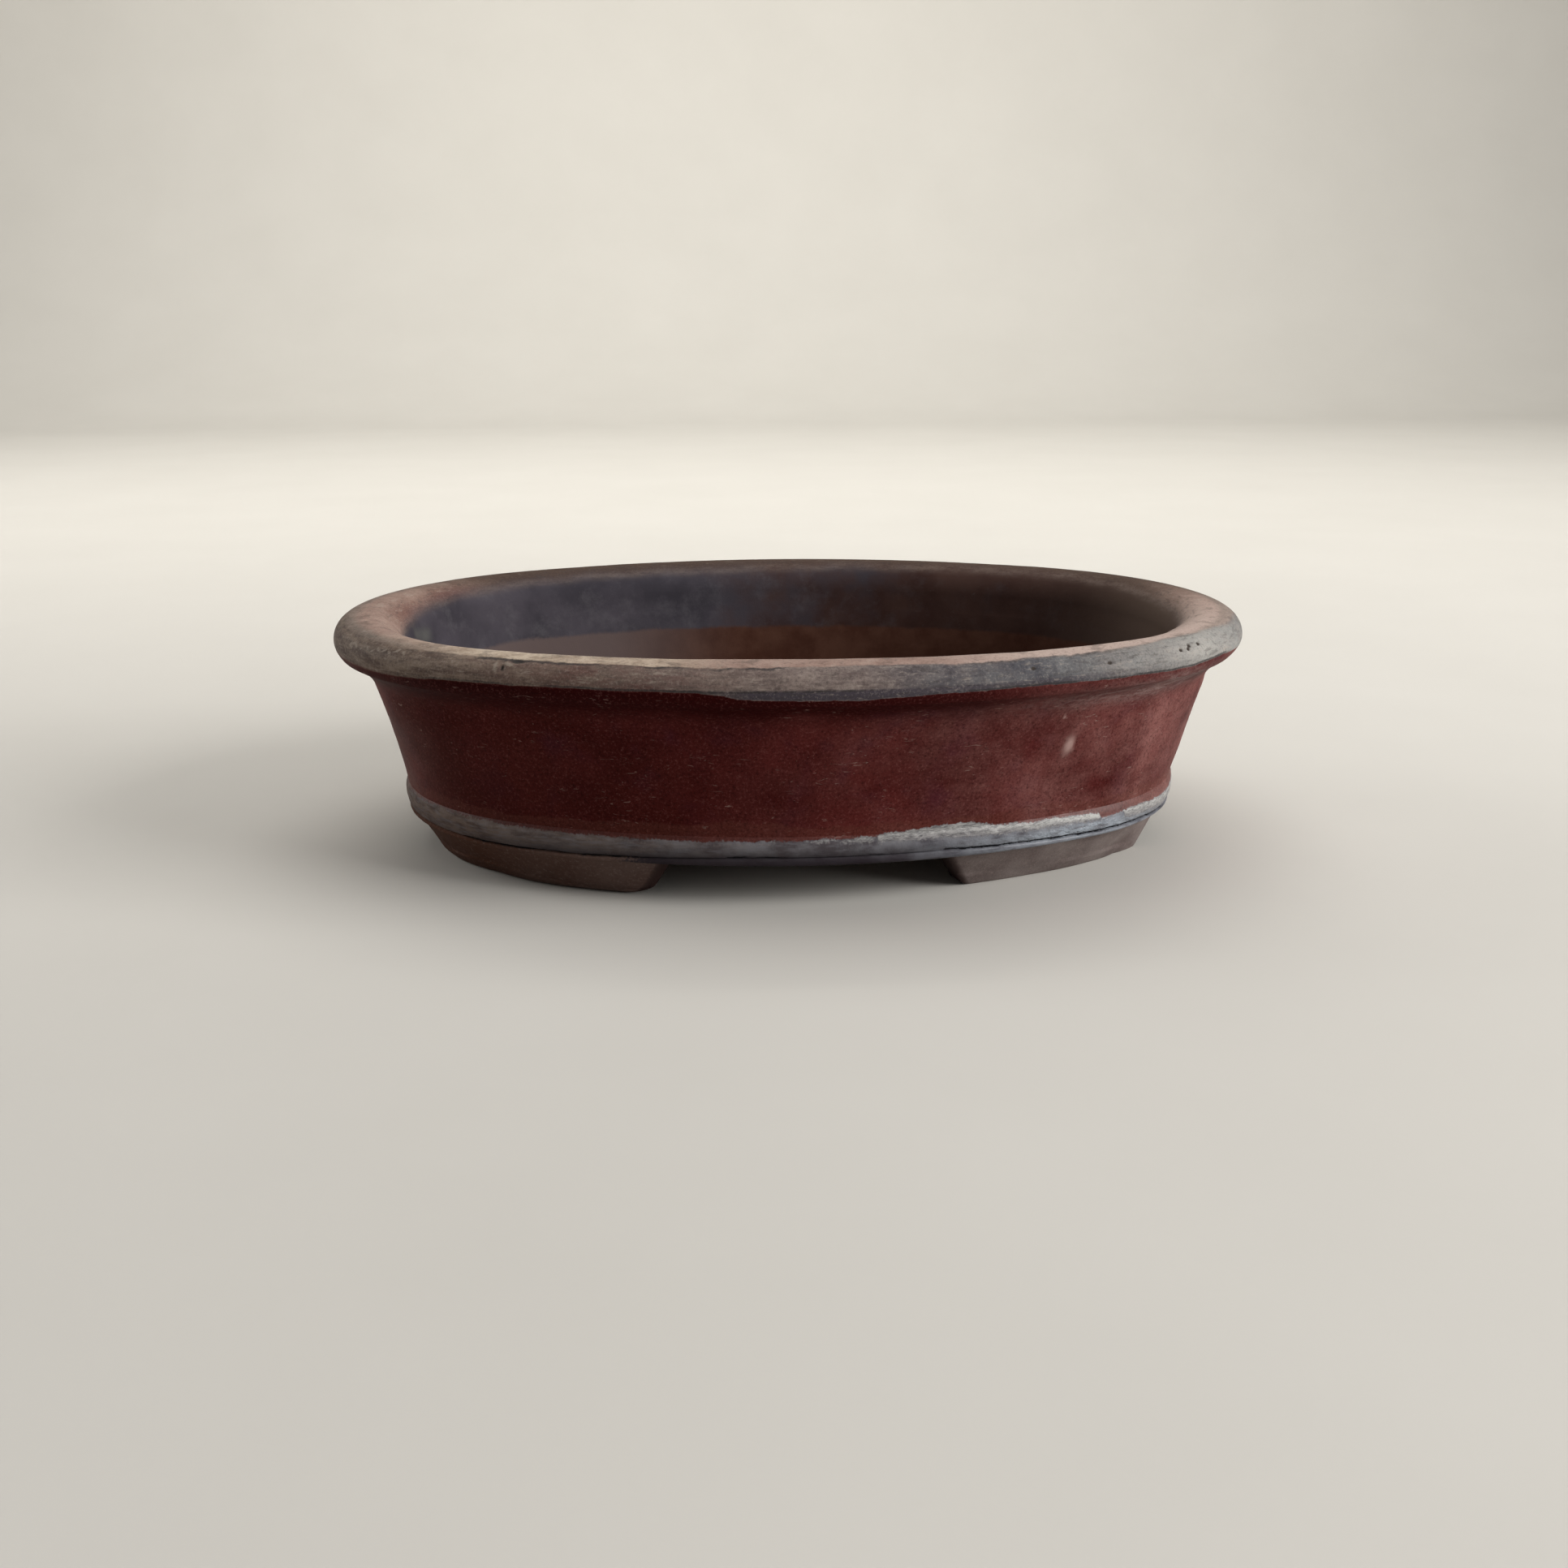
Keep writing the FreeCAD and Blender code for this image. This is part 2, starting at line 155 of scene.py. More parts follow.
def cloud(points, cell, seed, octaves=4, fade=0.55):
    """Noise of several sizes added up, from about -1 to 1."""
    total = np.zeros(len(points))
    weight = 1.0
    whole = 0.0
    for octave in range(octaves):
        total += weight * noise(points, cell / 2**octave, seed + octave)
        whole += weight
        weight *= fade
    return total / whole * 1.6


# ---- the oval
def oval_point(angle, reach, level):
    """Positions for arrays of angle, reach and level."""
    turn = np.radians(angle)
    normal_x, normal_y = np.sin(turn), -np.cos(turn)
    on_side = np.abs(normal_x) < math.sin(math.radians(TURN))
    centre_x = np.where(on_side, 0.0, END_CENTRE * np.sign(normal_x))
    centre_y = np.where(on_side, -SIDE_CENTRE * np.sign(normal_y), 0.0)
    radius = reach - np.where(on_side, SIDE_DROP - SIDE_CENTRE, END_CENTRE)
    x = centre_x + radius * normal_x
    y = centre_y + radius * normal_y
    return np.stack(np.broadcast_arrays(x, y, level), axis=-1)


def oval_place(points):
    """The angle and reach of points, the other way round."""
    x, y = points[:, 0], points[:, 1]
    side_turn = np.degrees(np.arctan2(np.abs(x), np.abs(y) + SIDE_CENTRE))
    on_side = side_turn < TURN
    end_turn = np.degrees(np.arctan2(np.abs(x) - END_CENTRE, np.abs(y)))
    turn = np.where(on_side, side_turn, end_turn)
    side_reach = np.hypot(x, np.abs(y) + SIDE_CENTRE) + SIDE_DROP - SIDE_CENTRE
    end_reach = np.hypot(np.abs(x) - END_CENTRE, y) + END_CENTRE
    reach = np.where(on_side, side_reach, end_reach)
    turn = np.where(y > 0, 180 - turn, turn)
    return np.where(x < 0, -turn, turn), reach


def oval_angles(count, reach):
    """Angles evenly spaced along the oval of that reach."""
    side = (reach - SIDE_DROP + SIDE_CENTRE) * math.radians(TURN)
    end = (reach - END_CENTRE) * math.radians(90 - TURN)
    stops = np.cumsum([0, side, 2 * end, 2 * side, 2 * end, side])
    angles = [-180, TURN - 180, -TURN, TURN, 180 - TURN, 180]
    return np.interp(np.arange(count) / count * stops[-1], stops, angles)


# ---- section lines
def line(start, end, step):
    """Points from start towards end, the end left out."""
    start, end = np.array(start, float), np.array(end, float)
    count = max(1, round(np.linalg.norm(end - start) / step))
    return start + (end - start) * (np.arange(count)[:, None] / count)


def arc_middle(start, end, radius):
    """The middle of the arc from start to end, which bulges to the right for a positive radius."""
    start, end = np.array(start, float), np.array(end, float)
    chord = np.linalg.norm(end - start)
    along = (end - start) / chord
    out = np.array([along[1], -along[0]]) * math.copysign(1, radius)
    half = math.asin(chord / 2 / abs(radius))
    return (start + end) / 2 - out * abs(radius) * math.cos(half), out, along, half


def arc(start, end, radius, step):
    """Points along that arc, the end left out."""
    middle, out, along, half = arc_middle(start, end, radius)
    radius = abs(radius)
    count = max(2, round(2 * half * radius / step))
    turn = half * (2 * np.arange(count) / count - 1)
    return middle + radius * (np.cos(turn)[:, None] * out + np.sin(turn)[:, None] * along)


# ---- where each glaze lies
def spot(points, angle, reach, level, wide, tall, tilt=0.0):
    """A soft blot, 1 at its middle and lost about 4 mm in front of or behind it."""
    turn, lean = math.radians(angle), math.radians(tilt)
    away = points - oval_point(np.array(angle), np.array(reach), np.array(level))
    along = away @ np.array([math.cos(turn), math.sin(turn), 0.0])
    depth = away @ np.array([math.sin(turn), -math.cos(turn), 0.0])
    first = along * math.cos(lean) + away[:, 2] * math.sin(lean)
    second = away[:, 2] * math.cos(lean) - along * math.sin(lean)
    return np.exp(-((first / wide) ** 2) - (second / tall) ** 2 - (depth / 4) ** 2)


# Borders in millimetres above the sole, crest tips in degrees round the roll, and shares, each at
# a few angles. A list starts at the back, and runs past the left end, the front and the right end.
LIP_BORDER = [
    (-180, 32.9), (-70, 32.3), (-45, 32.3), (-32, 33.0), (-18, 33.25), (-10, 33.2), (-7.5, 32.9),
    (-5.5, 32.3), (-3, 32.1), (3, 32.0), (5.5, 32.25), (11, 32.5), (17.6, 32.6), (25, 32.35),
    (39, 32.25), (52, 32.6), (68, 31.9), (90, 31.3), (115, 31.6), (150, 32.6),
]
LIP_BLUR = [
    (-180, 0.7), (-60, 0.9), (-45, 0.45), (-30, 0.3), (-12, 0.25), (-6, 0.1), (8, 0.1), (50, 0.15),
    (80, 0.4),
]
BORDER_SHARE = [
    (-180, 0.2), (-45, 0), (-35, 0.7), (-9, 0.9), (-6, 0.1), (6, 0.3), (14, 1.0), (50, 1.0),
    (60, 0.3),
]
CREST_TIP = [
    (-180, 70), (-57, 62), (-40, 70), (-26, 74), (-10, 72), (-3, 72), (5, 80), (11, 66), (25, 74),
    (36, 95), (50, 90), (62, 66), (75, 55),
]
CREST_BLUR = [
    (-180, 20), (-60, 24), (-45, 20), (-26, 12), (-12, 6), (-3, 7), (8, 10), (25, 16), (60, 22),
]
SEAM_SHARE = [
    (-180, 0.3), (-70, 0.1), (-40, 0.4), (-28, 0.9), (-5, 0.85), (4, 0.5), (10, 0.6), (25, 0.5),
    (34, 0.1), (60, 0.0),
]
INSIDE_EDGE = [
    (-180, 35.7), (-150, 35.4), (-131, 35.1), (-116, 34.7), (-108, 34.3), (-99, 33.6), (-85, 32.9),
    (-70, 33.5), (-50, 34.6), (80, 34.8), (95, 34.7), (110, 35.1), (122, 35.5), (135, 35.8),
    (155, 35.9),
]
MOUTH_SHOULDER = [
    (-180, 0), (-75, 0.3), (-55, 0.7), (-42, 0.9), (-31, 0.55), (-20, 0.3), (-13, -0.1),
    (-3, -0.35), (6, 0), (14, 0.7), (24, 1.45), (36, 1.2), (52, 0.25), (75, 0.1),
]
LOW_LINE_SHARE = [(-180, 0), (-14, 0), (-9, 0.7), (-5, 1), (2.5, 1), (5, 0.5), (12, 0.6), (15, 0)]
RUN_SHARE = [
    (-180, 0), (-11, 0), (-7, 0.7), (-5, 1), (6, 1), (9, 0.8), (20, 0.6), (30, 0.2), (60, 0),
]
BLUE_SHARE = [
    (-180, 0.3), (-60, 0.2), (-20, 0.0), (3, 0.3), (8, 0.8), (12, 1.0), (60, 1.0), (90, 0.6),
]
# Painted light: the blue glaze on the lip's right front, which faces the light, is painted lighter.
PAINTED_LIT_FACE = [(-180, 0), (18, 0), (28, 0.5), (45, 1.0), (65, 0.5), (90, 0.2)]
ROSY = [(-180, 0), (8, 0), (18, 1.0), (60, 1.0), (80, 0.6), (95, 0.15), (110, 0)]
TAN = [(-180, 0.3), (-60, 0.1), (-40, 0.6), (-26, 1.0), (-12, 0.8), (-7, 0.1), (40, 0.0)]
FADE = [
    (-180, 0.3), (-90, 0.6), (-60, 0.8), (-40, 0.4), (-30, 0.0), (20, 0.0), (60, 0.5), (90, 0.6),
]
BARE_EDGE = [(-180, 25.4), (-161, 25.7), (-147, 26.1), (-90, 24.0), (90, 25.0), (156, 25.5)]
# Painted shade on the inside: 1 where the inner wall faces away from the light, at the right end, 0
# on the lit left.
SHADE = [
    (-180, 0.5), (-160, 0.1), (-100, 0.0), (-60, 0.3), (0, 0.5), (100, 1.0), (160, 0.9), (172, 0.6),
]
# Glaze pooled in the cove under the lip, darkened further as painted shade: most on the shaded left
# and front, least on the lit right.
POOL_AND_PAINTED_SHADE_SHARE = [
    (-180, 0.6), (-80, 0.35), (-52, 0.7), (-38, 1.0), (0, 1.0), (10, 0.8), (20, 0.35), (60, 0.1),
    (120, 0.3),
]
# Dust on the outside, which also stands in for painted light and painted sheen: most on the lit
# right and on the left end's edge.
DUST_AND_PAINTED_LIGHT_SHARE = [
    (-180, 0.25), (-80, 0.9), (-60, 0.4), (-45, 0.0), (-10, 0.0), (5, 0.25), (20, 0.6), (32, 0.95),
    (60, 1.0), (90, 0.8), (150, 0.3),
]
# The left side: the glazes' browner and olive tones there, and painted shade on the bare clay.
LEFT = [(-180, 0.5), (-90, 1.0), (-40, 1.0), (-20, 0.7), (-5, 0.25), (10, 0.0), (90, 0.0)]
BAND_EDGE = [
    (-180, 10.4), (-48, 10.4), (-28, 10.15), (-20, 10.0), (-6, 9.95), (3.5, 10.3), (7.5, 10.7),
    (14.5, 11.45), (18.6, 10.35), (28.3, 9.95), (29.2, 9.0), (34, 9.2), (40, 9.5), (60, 9.2),
    (75, 9.9), (120, 10.5),
]
BAND_BLUR = [(-180, 0.6), (-60, 0.8), (-20, 0.5), (0, 0.4), (8, 0.35), (60, 0.4)]
BAND_RAGGED = [
    (-180, 0.5), (-60, 0.6), (-15, 0.4), (4, 0.6), (10, 1.0), (28, 0.7), (30, 0.3), (60, 0.5),
    (179.9, 0.3),
]
# Painted shade: the lower belt and the slab's edge are darker towards the bottom, most at the
# front.
PAINTED_LOW_SHADE_SHARE = [
    (-180, 0.4), (-60, 0.3), (-30, 0.6), (-15, 0.9), (5, 0.9), (14, 0.3), (20, 0), (90, 0.2),
]
# A glossy stretch of the lower belt on the right: real gloss, and a painted reflection in its
# colour.
GLOSS_AND_PAINTED_SHEEN_SHARE = [(-180, 0), (8, 0), (16, 0.5), (25, 1.0), (34, 0.9), (45, 0.5), (70, 0.3), (90, 0)]
CRUST_LOW = [
    (-180, 9.6), (-20, 9.9), (0, 9.8), (7, 9.5), (14, 9.3), (27, 8.9), (36, 8.5), (40, 7.9),
    (60, 7.6),
]
CRUST_SHARE = [
    (-180, 0.3), (-140, 0.5), (-110, 0.0), (-22, 0.0), (-8, 0.3), (2, 0.55), (8, 0.85), (14, 1.0),
    (28.3, 1.0), (29.2, 0.0), (36, 0.1), (39, 0.9), (60, 0.8), (75, 0.4), (110, 0.2), (150, 0.6),
]
CRUST_PALE = [
    (-180, 0.4), (-20, 0.2), (0, 0.35), (8, 0.55), (20, 0.75), (28, 1.0), (30, 0.3), (38, 0.7),
    (60, 0.7),
]
RIDGE_SHARE = [
    (-180, 0.3), (-70, 0.5), (-45, 0.4), (-30, 0.6), (-18, 0.4), (-6, 0.4), (4, 0.3), (8, 0),
    (60, 0),
]
PARTING_WANDER = [
    (-180, -0.2), (-48, -0.5), (-35, -0.6), (-20, -0.6), (-6, 0), (12, 0), (23, -0.4), (30, -0.6),
    (40, -0.6), (62, -0.9), (90, -0.4),
]
PARTING_SHARE = [
    (-180, 0), (-45, -0.5), (-35, 0.3), (-12, -0.3), (0, -0.8), (10, -0.4), (16, 0.8), (60, 0.6),
]
EDGE_GLAZE = [(-180, 0.5), (-120, 0.0), (-20, 0.0), (-13, 1.0), (60, 1.0), (80, 0.3), (140, 0.7)]

PITS = [(39.2, 34.75), (40.0, 35.1), (43.0, 35.05), (36.9, 34.8), (24.0, 34.6), (17.0, 34.9)]
ROLL_MIDDLE = arc_middle(ROLL_LOW, CREST_OUTER, RIM_ROLL)[0]


def wall_middle(level):
    """The reach of the middle of the wall's thickness."""
    return np.interp(level, [PARTING, SEAM, CREST - 2, CREST], [57.0, 62.5, 64.0, 65.0])


def glaze_map(points):
    """How much of each glaze, wear and dirt, and of painted light and shade, lies at each point,
    from 0 to 1.
    """
    angle, reach = oval_place(points)
    level = points[:, 2]
    middle = wall_middle(level)
    outer = rise(reach, middle - 0.4, middle + 0.4)
    inner = 1 - outer
    coarse = cloud(points, 9.0, 11)
    medium = cloud(points, 3.0, 21)
    fine = cloud(points, 1.0, 31)
    stretched = cloud(points * np.array([1, 1, 3.0]), 5.0, 41)

    tip = np.degrees(np.arctan2(level - ROLL_MIDDLE[1], reach - ROLL_MIDDLE[0]))
    tip = np.where(tip < -90, 180, tip)

    lip_edge = around(angle, LIP_BORDER) + 0.1 * medium + 0.06 * fine
    lip_blur = around(angle, LIP_BLUR)
    band_blur = around(angle, BAND_BLUR)
    lip = rise(level, lip_edge - lip_blur, lip_edge + lip_blur)
    crest_tip = around(angle, CREST_TIP) + 4 * medium + 4 * fine
    crest_blur = around(angle, CREST_BLUR)
    crest_outer = rise(tip, crest_tip - crest_blur, crest_tip + crest_blur)
    inside_edge = around(angle, INSIDE_EDGE) + 0.2 * coarse + 0.1 * medium
    crest_inner = rise(level, inside_edge - 1.4, inside_edge + 1.4)
    crest = outer * crest_outer + inner * crest_inner
    seam_line = hump(tip, crest_tip - 4, 4 + 0.3 * crest_blur) * rise(stretched, -0.7, 0.2)
    low_line = hump(level, 33.35 + 0.05 * medium, 0.15) * rise(fine, -0.6, 0.1)
    border_line = hump(level, lip_edge + 0.15, 0.2) * rise(stretched, -0.9, 0.1)
    dark_line = seam_line * around(angle, SEAM_SHARE) + low_line * around(angle, LOW_LINE_SHARE)
    dark_line += border_line * around(angle, BORDER_SHARE)
    run = outer * rise(33.7 - level, 0, 0.5) * lip * around(angle, RUN_SHARE)
    blue = outer * (1 - crest_outer) * around(angle, BLUE_SHARE)
    blue *= 0.8 + 0.2 * rise(coarse + 0.6 * medium, -0.5, 0.5)

    # The cove under the lip: pooled glaze and painted shade.
    pool_low = 29.2 + 0.6 * coarse + 0.4 * stretched
    pool_and_painted_shade = outer * (1 - lip) * rise(level, pool_low - 1.8, pool_low + 1.4)
    pool_and_painted_shade *= around(angle, POOL_AND_PAINTED_SHADE_SHARE)
    sheltered = outer * rise(level, 20, 26)
    # Real dust, with painted light and painted sheen on the lit right and the left end's edge.
    dust_and_painted_light = outer * around(angle, DUST_AND_PAINTED_LIGHT_SHARE) * rise(coarse + 0.5 * stretched, -1.3, 0.9)
    dust_and_painted_light *= 1 - 0.8 * pool_and_painted_shade
    swirl = hump(level, 29.6 + 0.02 * (angle - 32), 1.7) * hump(angle, 35, 13) * outer
    foot_dust = outer * (1 - rise(level, 11.0, 13.8 + 1.5 * coarse))

    ragged = around(angle, BAND_RAGGED)
    band_edge = around(angle, BAND_EDGE) + ragged * (0.3 * medium + 0.25 * fine)
    band = outer * (1 - rise(level, band_edge - band_blur, band_edge + band_blur))
    crust_share = around(angle, CRUST_SHARE)
    crust_low = around(angle, CRUST_LOW) + 0.2 * medium
    crust = band * rise(level, crust_low - 0.9, crust_low + 1.0)
    crust *= rise(crust_share + 0.35 * fine + 0.25 * medium, 0.25, 0.65)
    pale = crust * around(angle, CRUST_PALE) * rise(level, crust_low - 0.4, band_edge)
    ridge = hump(level, band_edge - 0.5, 0.45) * outer * rise(medium, -1.0, 0.3)
    ridge *= around(angle, RIDGE_SHARE)
    parting_level = PARTING + around(angle, PARTING_WANDER)
    # Painted shade, darker towards the bottom of the belt.
    low = band * rise(9.4 - level, 0, 2.6)
    # Gloss, and a painted reflection, on the lower belt at the right.
    gloss_and_painted_sheen = band * rise(9.9 - level, 0, 2.2) * around(angle, GLOSS_AND_PAINTED_SHEEN_SHARE)
    parting = hump(level, parting_level + 0.08 * fine + 0.12 * medium, 0.17) * outer
    parting *= rise(stretched + around(angle, PARTING_SHARE), -0.3, 0.3)

    bare_edge = around(angle, BARE_EDGE) + 0.2 * coarse + 0.15 * medium
    bare = inner * (1 - rise(level, bare_edge - 0.9, bare_edge + 0.9))
    # A painted highlight: a whitish spot on the left inner wall, which faces the light.
    painted_highlight = spot(points, -104, 60.2, 30.5, 3.0, 1.6)
    painted_highlight += 0.6 * spot(points, -98, 60.2, 31.5, 1.5, 1.5)
    flush = spot(points, -100, 62.0, 34.6, 9, 1.6)
    flush = np.maximum(flush, spot(points, -122, 62.0, 35.2, 7, 1.0))
    blob = spot(points, 23.1, 63.5, 21.7, 0.75, 1.15, -12)
    blob = np.clip(1.3 * blob + 0.25 * fine * (blob > 0.05), 0, 1)
    blob = np.maximum(blob, spot(points, 21.9, 65.0, 26.3, 0.13, 0.2))
    chip = spot(points, -23.7, 68.2, 36.0, 1.2, 0.25)
    chip = np.maximum(chip, spot(points, -24.7, 69.5, 35.2, 0.25, 0.6, 30))
    scar = spot(points, -25.3, 69.5, 35.2, 0.28, 0.8, 15)
    scar = np.maximum(scar, spot(points, -24.2, 69.2, 35.6, 1.1, 0.2, -12))
    for step in range(8):
        turn = 0.62 * step
        curl_angle, curl_level = -60.6 + 1.5 * math.cos(turn), 34.8 + 0.3 * math.sin(turn)
        curl = spot(points, curl_angle, 69.8, curl_level, 0.35, 0.2)
        trail_level = 34.9 + 0.1 * step + 0.2 * math.sin(2.3 * step)
        trail = spot(points, -56.5 + 1.9 * step, 69.5, trail_level, 0.6, 0.16, 25 * (-1) ** step)
        scar = np.maximum(scar, np.maximum(curl, trail))
    scar *= rise(fine + 0.5 * medium, -1.3, -0.2)
    for pit_angle, pit_level in PITS:
        chip = np.maximum(chip, spot(points, pit_angle, 69.6, pit_level, 0.45, 0.27))
    return {
        "lip": lip * outer + inner,
        "crest": crest,
        "dark_line": np.clip(dark_line * outer, 0, 1),
        "run": run,
        "blue": blue,
        "pool_and_painted_shade": pool_and_painted_shade,
        "sheltered": sheltered,
        "dust_and_painted_light": np.clip(dust_and_painted_light, 0, 1),
        "swirl": swirl,
        "foot_dust": foot_dust,
        "band": band,
        "low": low * around(angle, PAINTED_LOW_SHADE_SHARE),
        "gloss_and_painted_sheen": gloss_and_painted_sheen,
        "crust": crust,
        "pale": np.clip(pale, 0, 1),
        "ridge": ridge,
        "parting": parting,
        "inside": inner * (1 - crest),
        "bare": bare,
        "blob": blob,
        "chip": chip,
        "scar": scar,
        "russet": hump(angle, -15, 9) * outer,
        "painted_highlight": np.clip(painted_highlight, 0, 1),
        "flush": flush,
        "shade": around(angle, SHADE),
        "bright": around(angle, PAINTED_LIT_FACE),
        "rosy": around(angle, ROSY),
        "olive": hump(angle, 95, 32),
        "tan": around(angle, TAN),
        "fade": around(angle, FADE) * outer * rise(-tip, -115, -80),
        "back": rise(np.abs(angle) + 24 * rise(angle, -1, 1), 105, 148),
        "left": around(angle, LEFT),
    }


# How far each glaze or mark stands out of the surface, or in.
RELIEF = {
    "run": 0.09, "dark_line": -0.06, "band": 0.04, "parting": -0.2,
    "ridge": 0.06, "blob": 0.1, "chip": -0.35, "scar": 0.12,
}


def relief(points, masks):
    """How far the hand-made surface stands in or out of the smooth section."""
    height = 0.07 * (cloud(points, 16.0, 51, 2) - 0.4)
    height += 0.025 * cloud(points, 3.0, 61, 3)
    height += 0.012 * cloud(points * np.array([0.4, 0.4, 1.6]), 1.2, 71, 2)
    height += 0.05 * masks["lip"] * (1 - masks["crest"])
    height += masks["crust"] * (0.08 + 0.06 * cloud(points * np.array([0.5, 0.5, 1]), 0.8, 81, 3))
    for name, amount in RELIEF.items():
        height += amount * masks[name]
    return np.where(points[:, 2] > SEAM, np.minimum(height, -0.01), height)


def outward(points):
    """The way out of the clay at each point of a wall: sideways, and up over the crest."""
    angle, reach = oval_place(points)
    level = points[:, 2]
    turn = np.radians(angle)
    away = np.clip((reach - wall_middle(level)) / 2.5, -1, 1)
    climb = rise(level, 31.5, 36.0)
    length = np.hypot(away, climb) + 1e-9
    return np.stack([np.sin(turn) * away, -np.cos(turn) * away, climb], axis=-1) / length[:, None]


# ---- meshes
def place_object(name, data):
    """A new object in the scene."""
    thing = bpy.data.objects.new(name, data)
    bpy.context.scene.collection.objects.link(thing)
    return thing


def settle(points):
    """The unevenness of the whole: the lip, mouth, right wall and parting line wander a little."""
    angle, reach = oval_place(points)
    level = points[:, 2]
    lowered = RIGHT_LIP_DROP * rise(points[:, 0], -10, HALF_LENGTH) * rise(level, PARTING, CREST)
    lowered -= around(angle, PARTING_WANDER) * hump(level, PARTING, 1.0)
    shoulder = around(angle, MOUTH_SHOULDER) * (1 - rise(reach, 61.5, 66)) * rise(level, 29, 33)
    bulge = hump(angle, 85, 40) * rise(level, 10, 16) * (1 - rise(level, 25, 29))
    underside = hump(angle, 88, 30) * hump(level, 30.9, 1.2) * rise(reach, 66.0, 69.0)
    away = MOUTH_WIDENING * shoulder + RIGHT_WALL_BULGE * bulge - 0.4 * underside
    turn = np.radians(angle)
    moved = points.copy()
    moved[:, 0] += away * np.sin(turn)
    moved[:, 1] -= away * np.cos(turn)
    moved[:, 2] -= lowered + MOUTH_DROP * shoulder - RIGHT_LIP_LIFT * underside
    return moved


def grid_faces(rows, columns, closed=(True, True)):
    """Four-sided faces of a grid of points, which may close on itself either way."""
    row_count, column_count = rows - (not closed[0]), columns - (not closed[1])
    row, column = np.meshgrid(np.arange(row_count), np.arange(column_count), indexing="ij")
    next_row, next_column = (row + 1) % rows, (column + 1) % columns
    corners = [
        row * columns + column,
        next_row * columns + column,
        next_row * columns + next_column,
        row * columns + next_column,
    ]
    return np.stack(corners, axis=-1).reshape(-1, 4)


def make_object(name, points, faces, masks, material):
    """A smooth-shaded object from points in millimetres, with its masks as attributes."""
    mesh = bpy.data.meshes.new(name)
    mesh.from_pydata((points * MM).tolist(), [], [list(face) for face in faces])
    for label, values in masks.items():
        layer = mesh.attributes.new(label, "FLOAT", "POINT")
        layer.data.foreach_set("value", values.astype(np.float32))
    shape = bmesh.new()
    shape.from_mesh(mesh)
    bmesh.ops.remove_doubles(shape, verts=shape.verts, dist=1e-6)
    bmesh.ops.recalc_face_normals(shape, faces=shape.faces)
    shape.to_mesh(mesh)
    shape.free()
    mesh.shade_smooth()
    mesh.set_sharp_from_angle(angle=SHARP_EDGE)
    mesh.materials.append(material)
    return place_object(name, mesh)


def ring(name, section, material, count=AROUND):
    """A closed ring: the section carried round the oval, then given its relief."""
    section = np.concatenate(section)
    angle = oval_angles(count, EVEN_REACH)
    smooth = oval_point(angle[:, None], section[None, :, 0], section[None, :, 1])
    smooth = smooth.reshape(-1, 3)
    settled = settle(smooth)
    masks = glaze_map(settled)
    points = settled + outward(smooth) * relief(settled, masks)[:, None]
    return make_object(name, points, grid_faces(len(angle), len(section)), masks, material)


def build_wall(material):
    section = [
        line((BELT_SEAT_REACH, PARTING), (BELT_SEAT_REACH, BELT_TOP), 1.0),
        line((BELT_SEAT_REACH, BELT_TOP), WALL_FOOT, 0.3),
        arc(WALL_FOOT, WALL_NECK, -WALL_HOLLOW, 0.3),
        arc(WALL_NECK, SEAM_OUTER, -COVE_LOW, 0.3),
        line(SEAM_OUTER, SEAM_INNER, 2.0),
        line(SEAM_INNER, INSIDE_FOOT, 0.8),
        arc(INSIDE_FOOT, INSIDE_FLOOR, -INSIDE_FILLET, 0.6),
        line(INSIDE_FLOOR, (SLAB_REACH, FLOOR_TOP), 1.5),
        line((SLAB_REACH, FLOOR_TOP), (SLAB_REACH, PARTING), 2.0),
        line((SLAB_REACH, PARTING), (BELT_SEAT_REACH, PARTING), 2.0),
    ]
    return ring("glazed_wall", section, material)


def build_rim(material):
    section = [
        arc(SEAM_OUTER, COVE_TOP, -COVE_HIGH, 0.25),
        line(COVE_TOP, ROLL_LOW, 0.25),
        arc(ROLL_LOW, CREST_OUTER, RIM_ROLL, 0.17),
        arc(CREST_OUTER, CREST_INNER, CREST_CROWN, 0.25),
        arc(CREST_INNER, MOUTH, MOUTH_ROLL, 0.35),
        line(MOUTH, SEAM_INNER, 0.5),
        line(SEAM_INNER, SEAM_OUTER, 1.8),
    ]
    return ring("rolled_rim", section, material)


def build_belt(material):
    section = [
        line((BELT_SEAT_REACH, PARTING), (BELT_FOOT_REACH, PARTING), 0.3),
        arc((BELT_FOOT_REACH, PARTING), WALL_FOOT, BELT_BULGE, 0.13),
        line(WALL_FOOT, (BELT_SEAT_REACH, BELT_TOP), 0.3),
        line((BELT_SEAT_REACH, BELT_TOP), (BELT_SEAT_REACH, PARTING), 1.0),
    ]
    return ring("foot_belt", section, material, 2 * AROUND)


# ---- the slab and the feet
def drain_holes():
    """The middle, radius and number of steps of each hole through the slab."""
    holes = [(side * DRAIN_AT, 0.0, DRAIN_RADIUS, 120) for side in (-1, 1)]
    holes += [
        (across * WIRE_AT[0], along * WIRE_AT[1], WIRE_RADIUS, 40)
        for across in (-1, 1)
        for along in (-1, 1)
    ]
    return holes


def hole_loop(hole, wider, level):
    """A loop round a hole, cut by hand, so a little out of round."""
    x, y, radius, count = hole
    turn = np.arange(count) / count * 2 * math.pi
    uneven = 0.02 * np.sin(2 * turn + x) + 0.012 * np.sin(5 * turn + y + x)
    radius = radius * (1 + uneven) + wider
    across, along = radius * np.cos(turn), radius * np.sin(turn)
    return np.column_stack([x + across, y + along, np.full(count, level)])


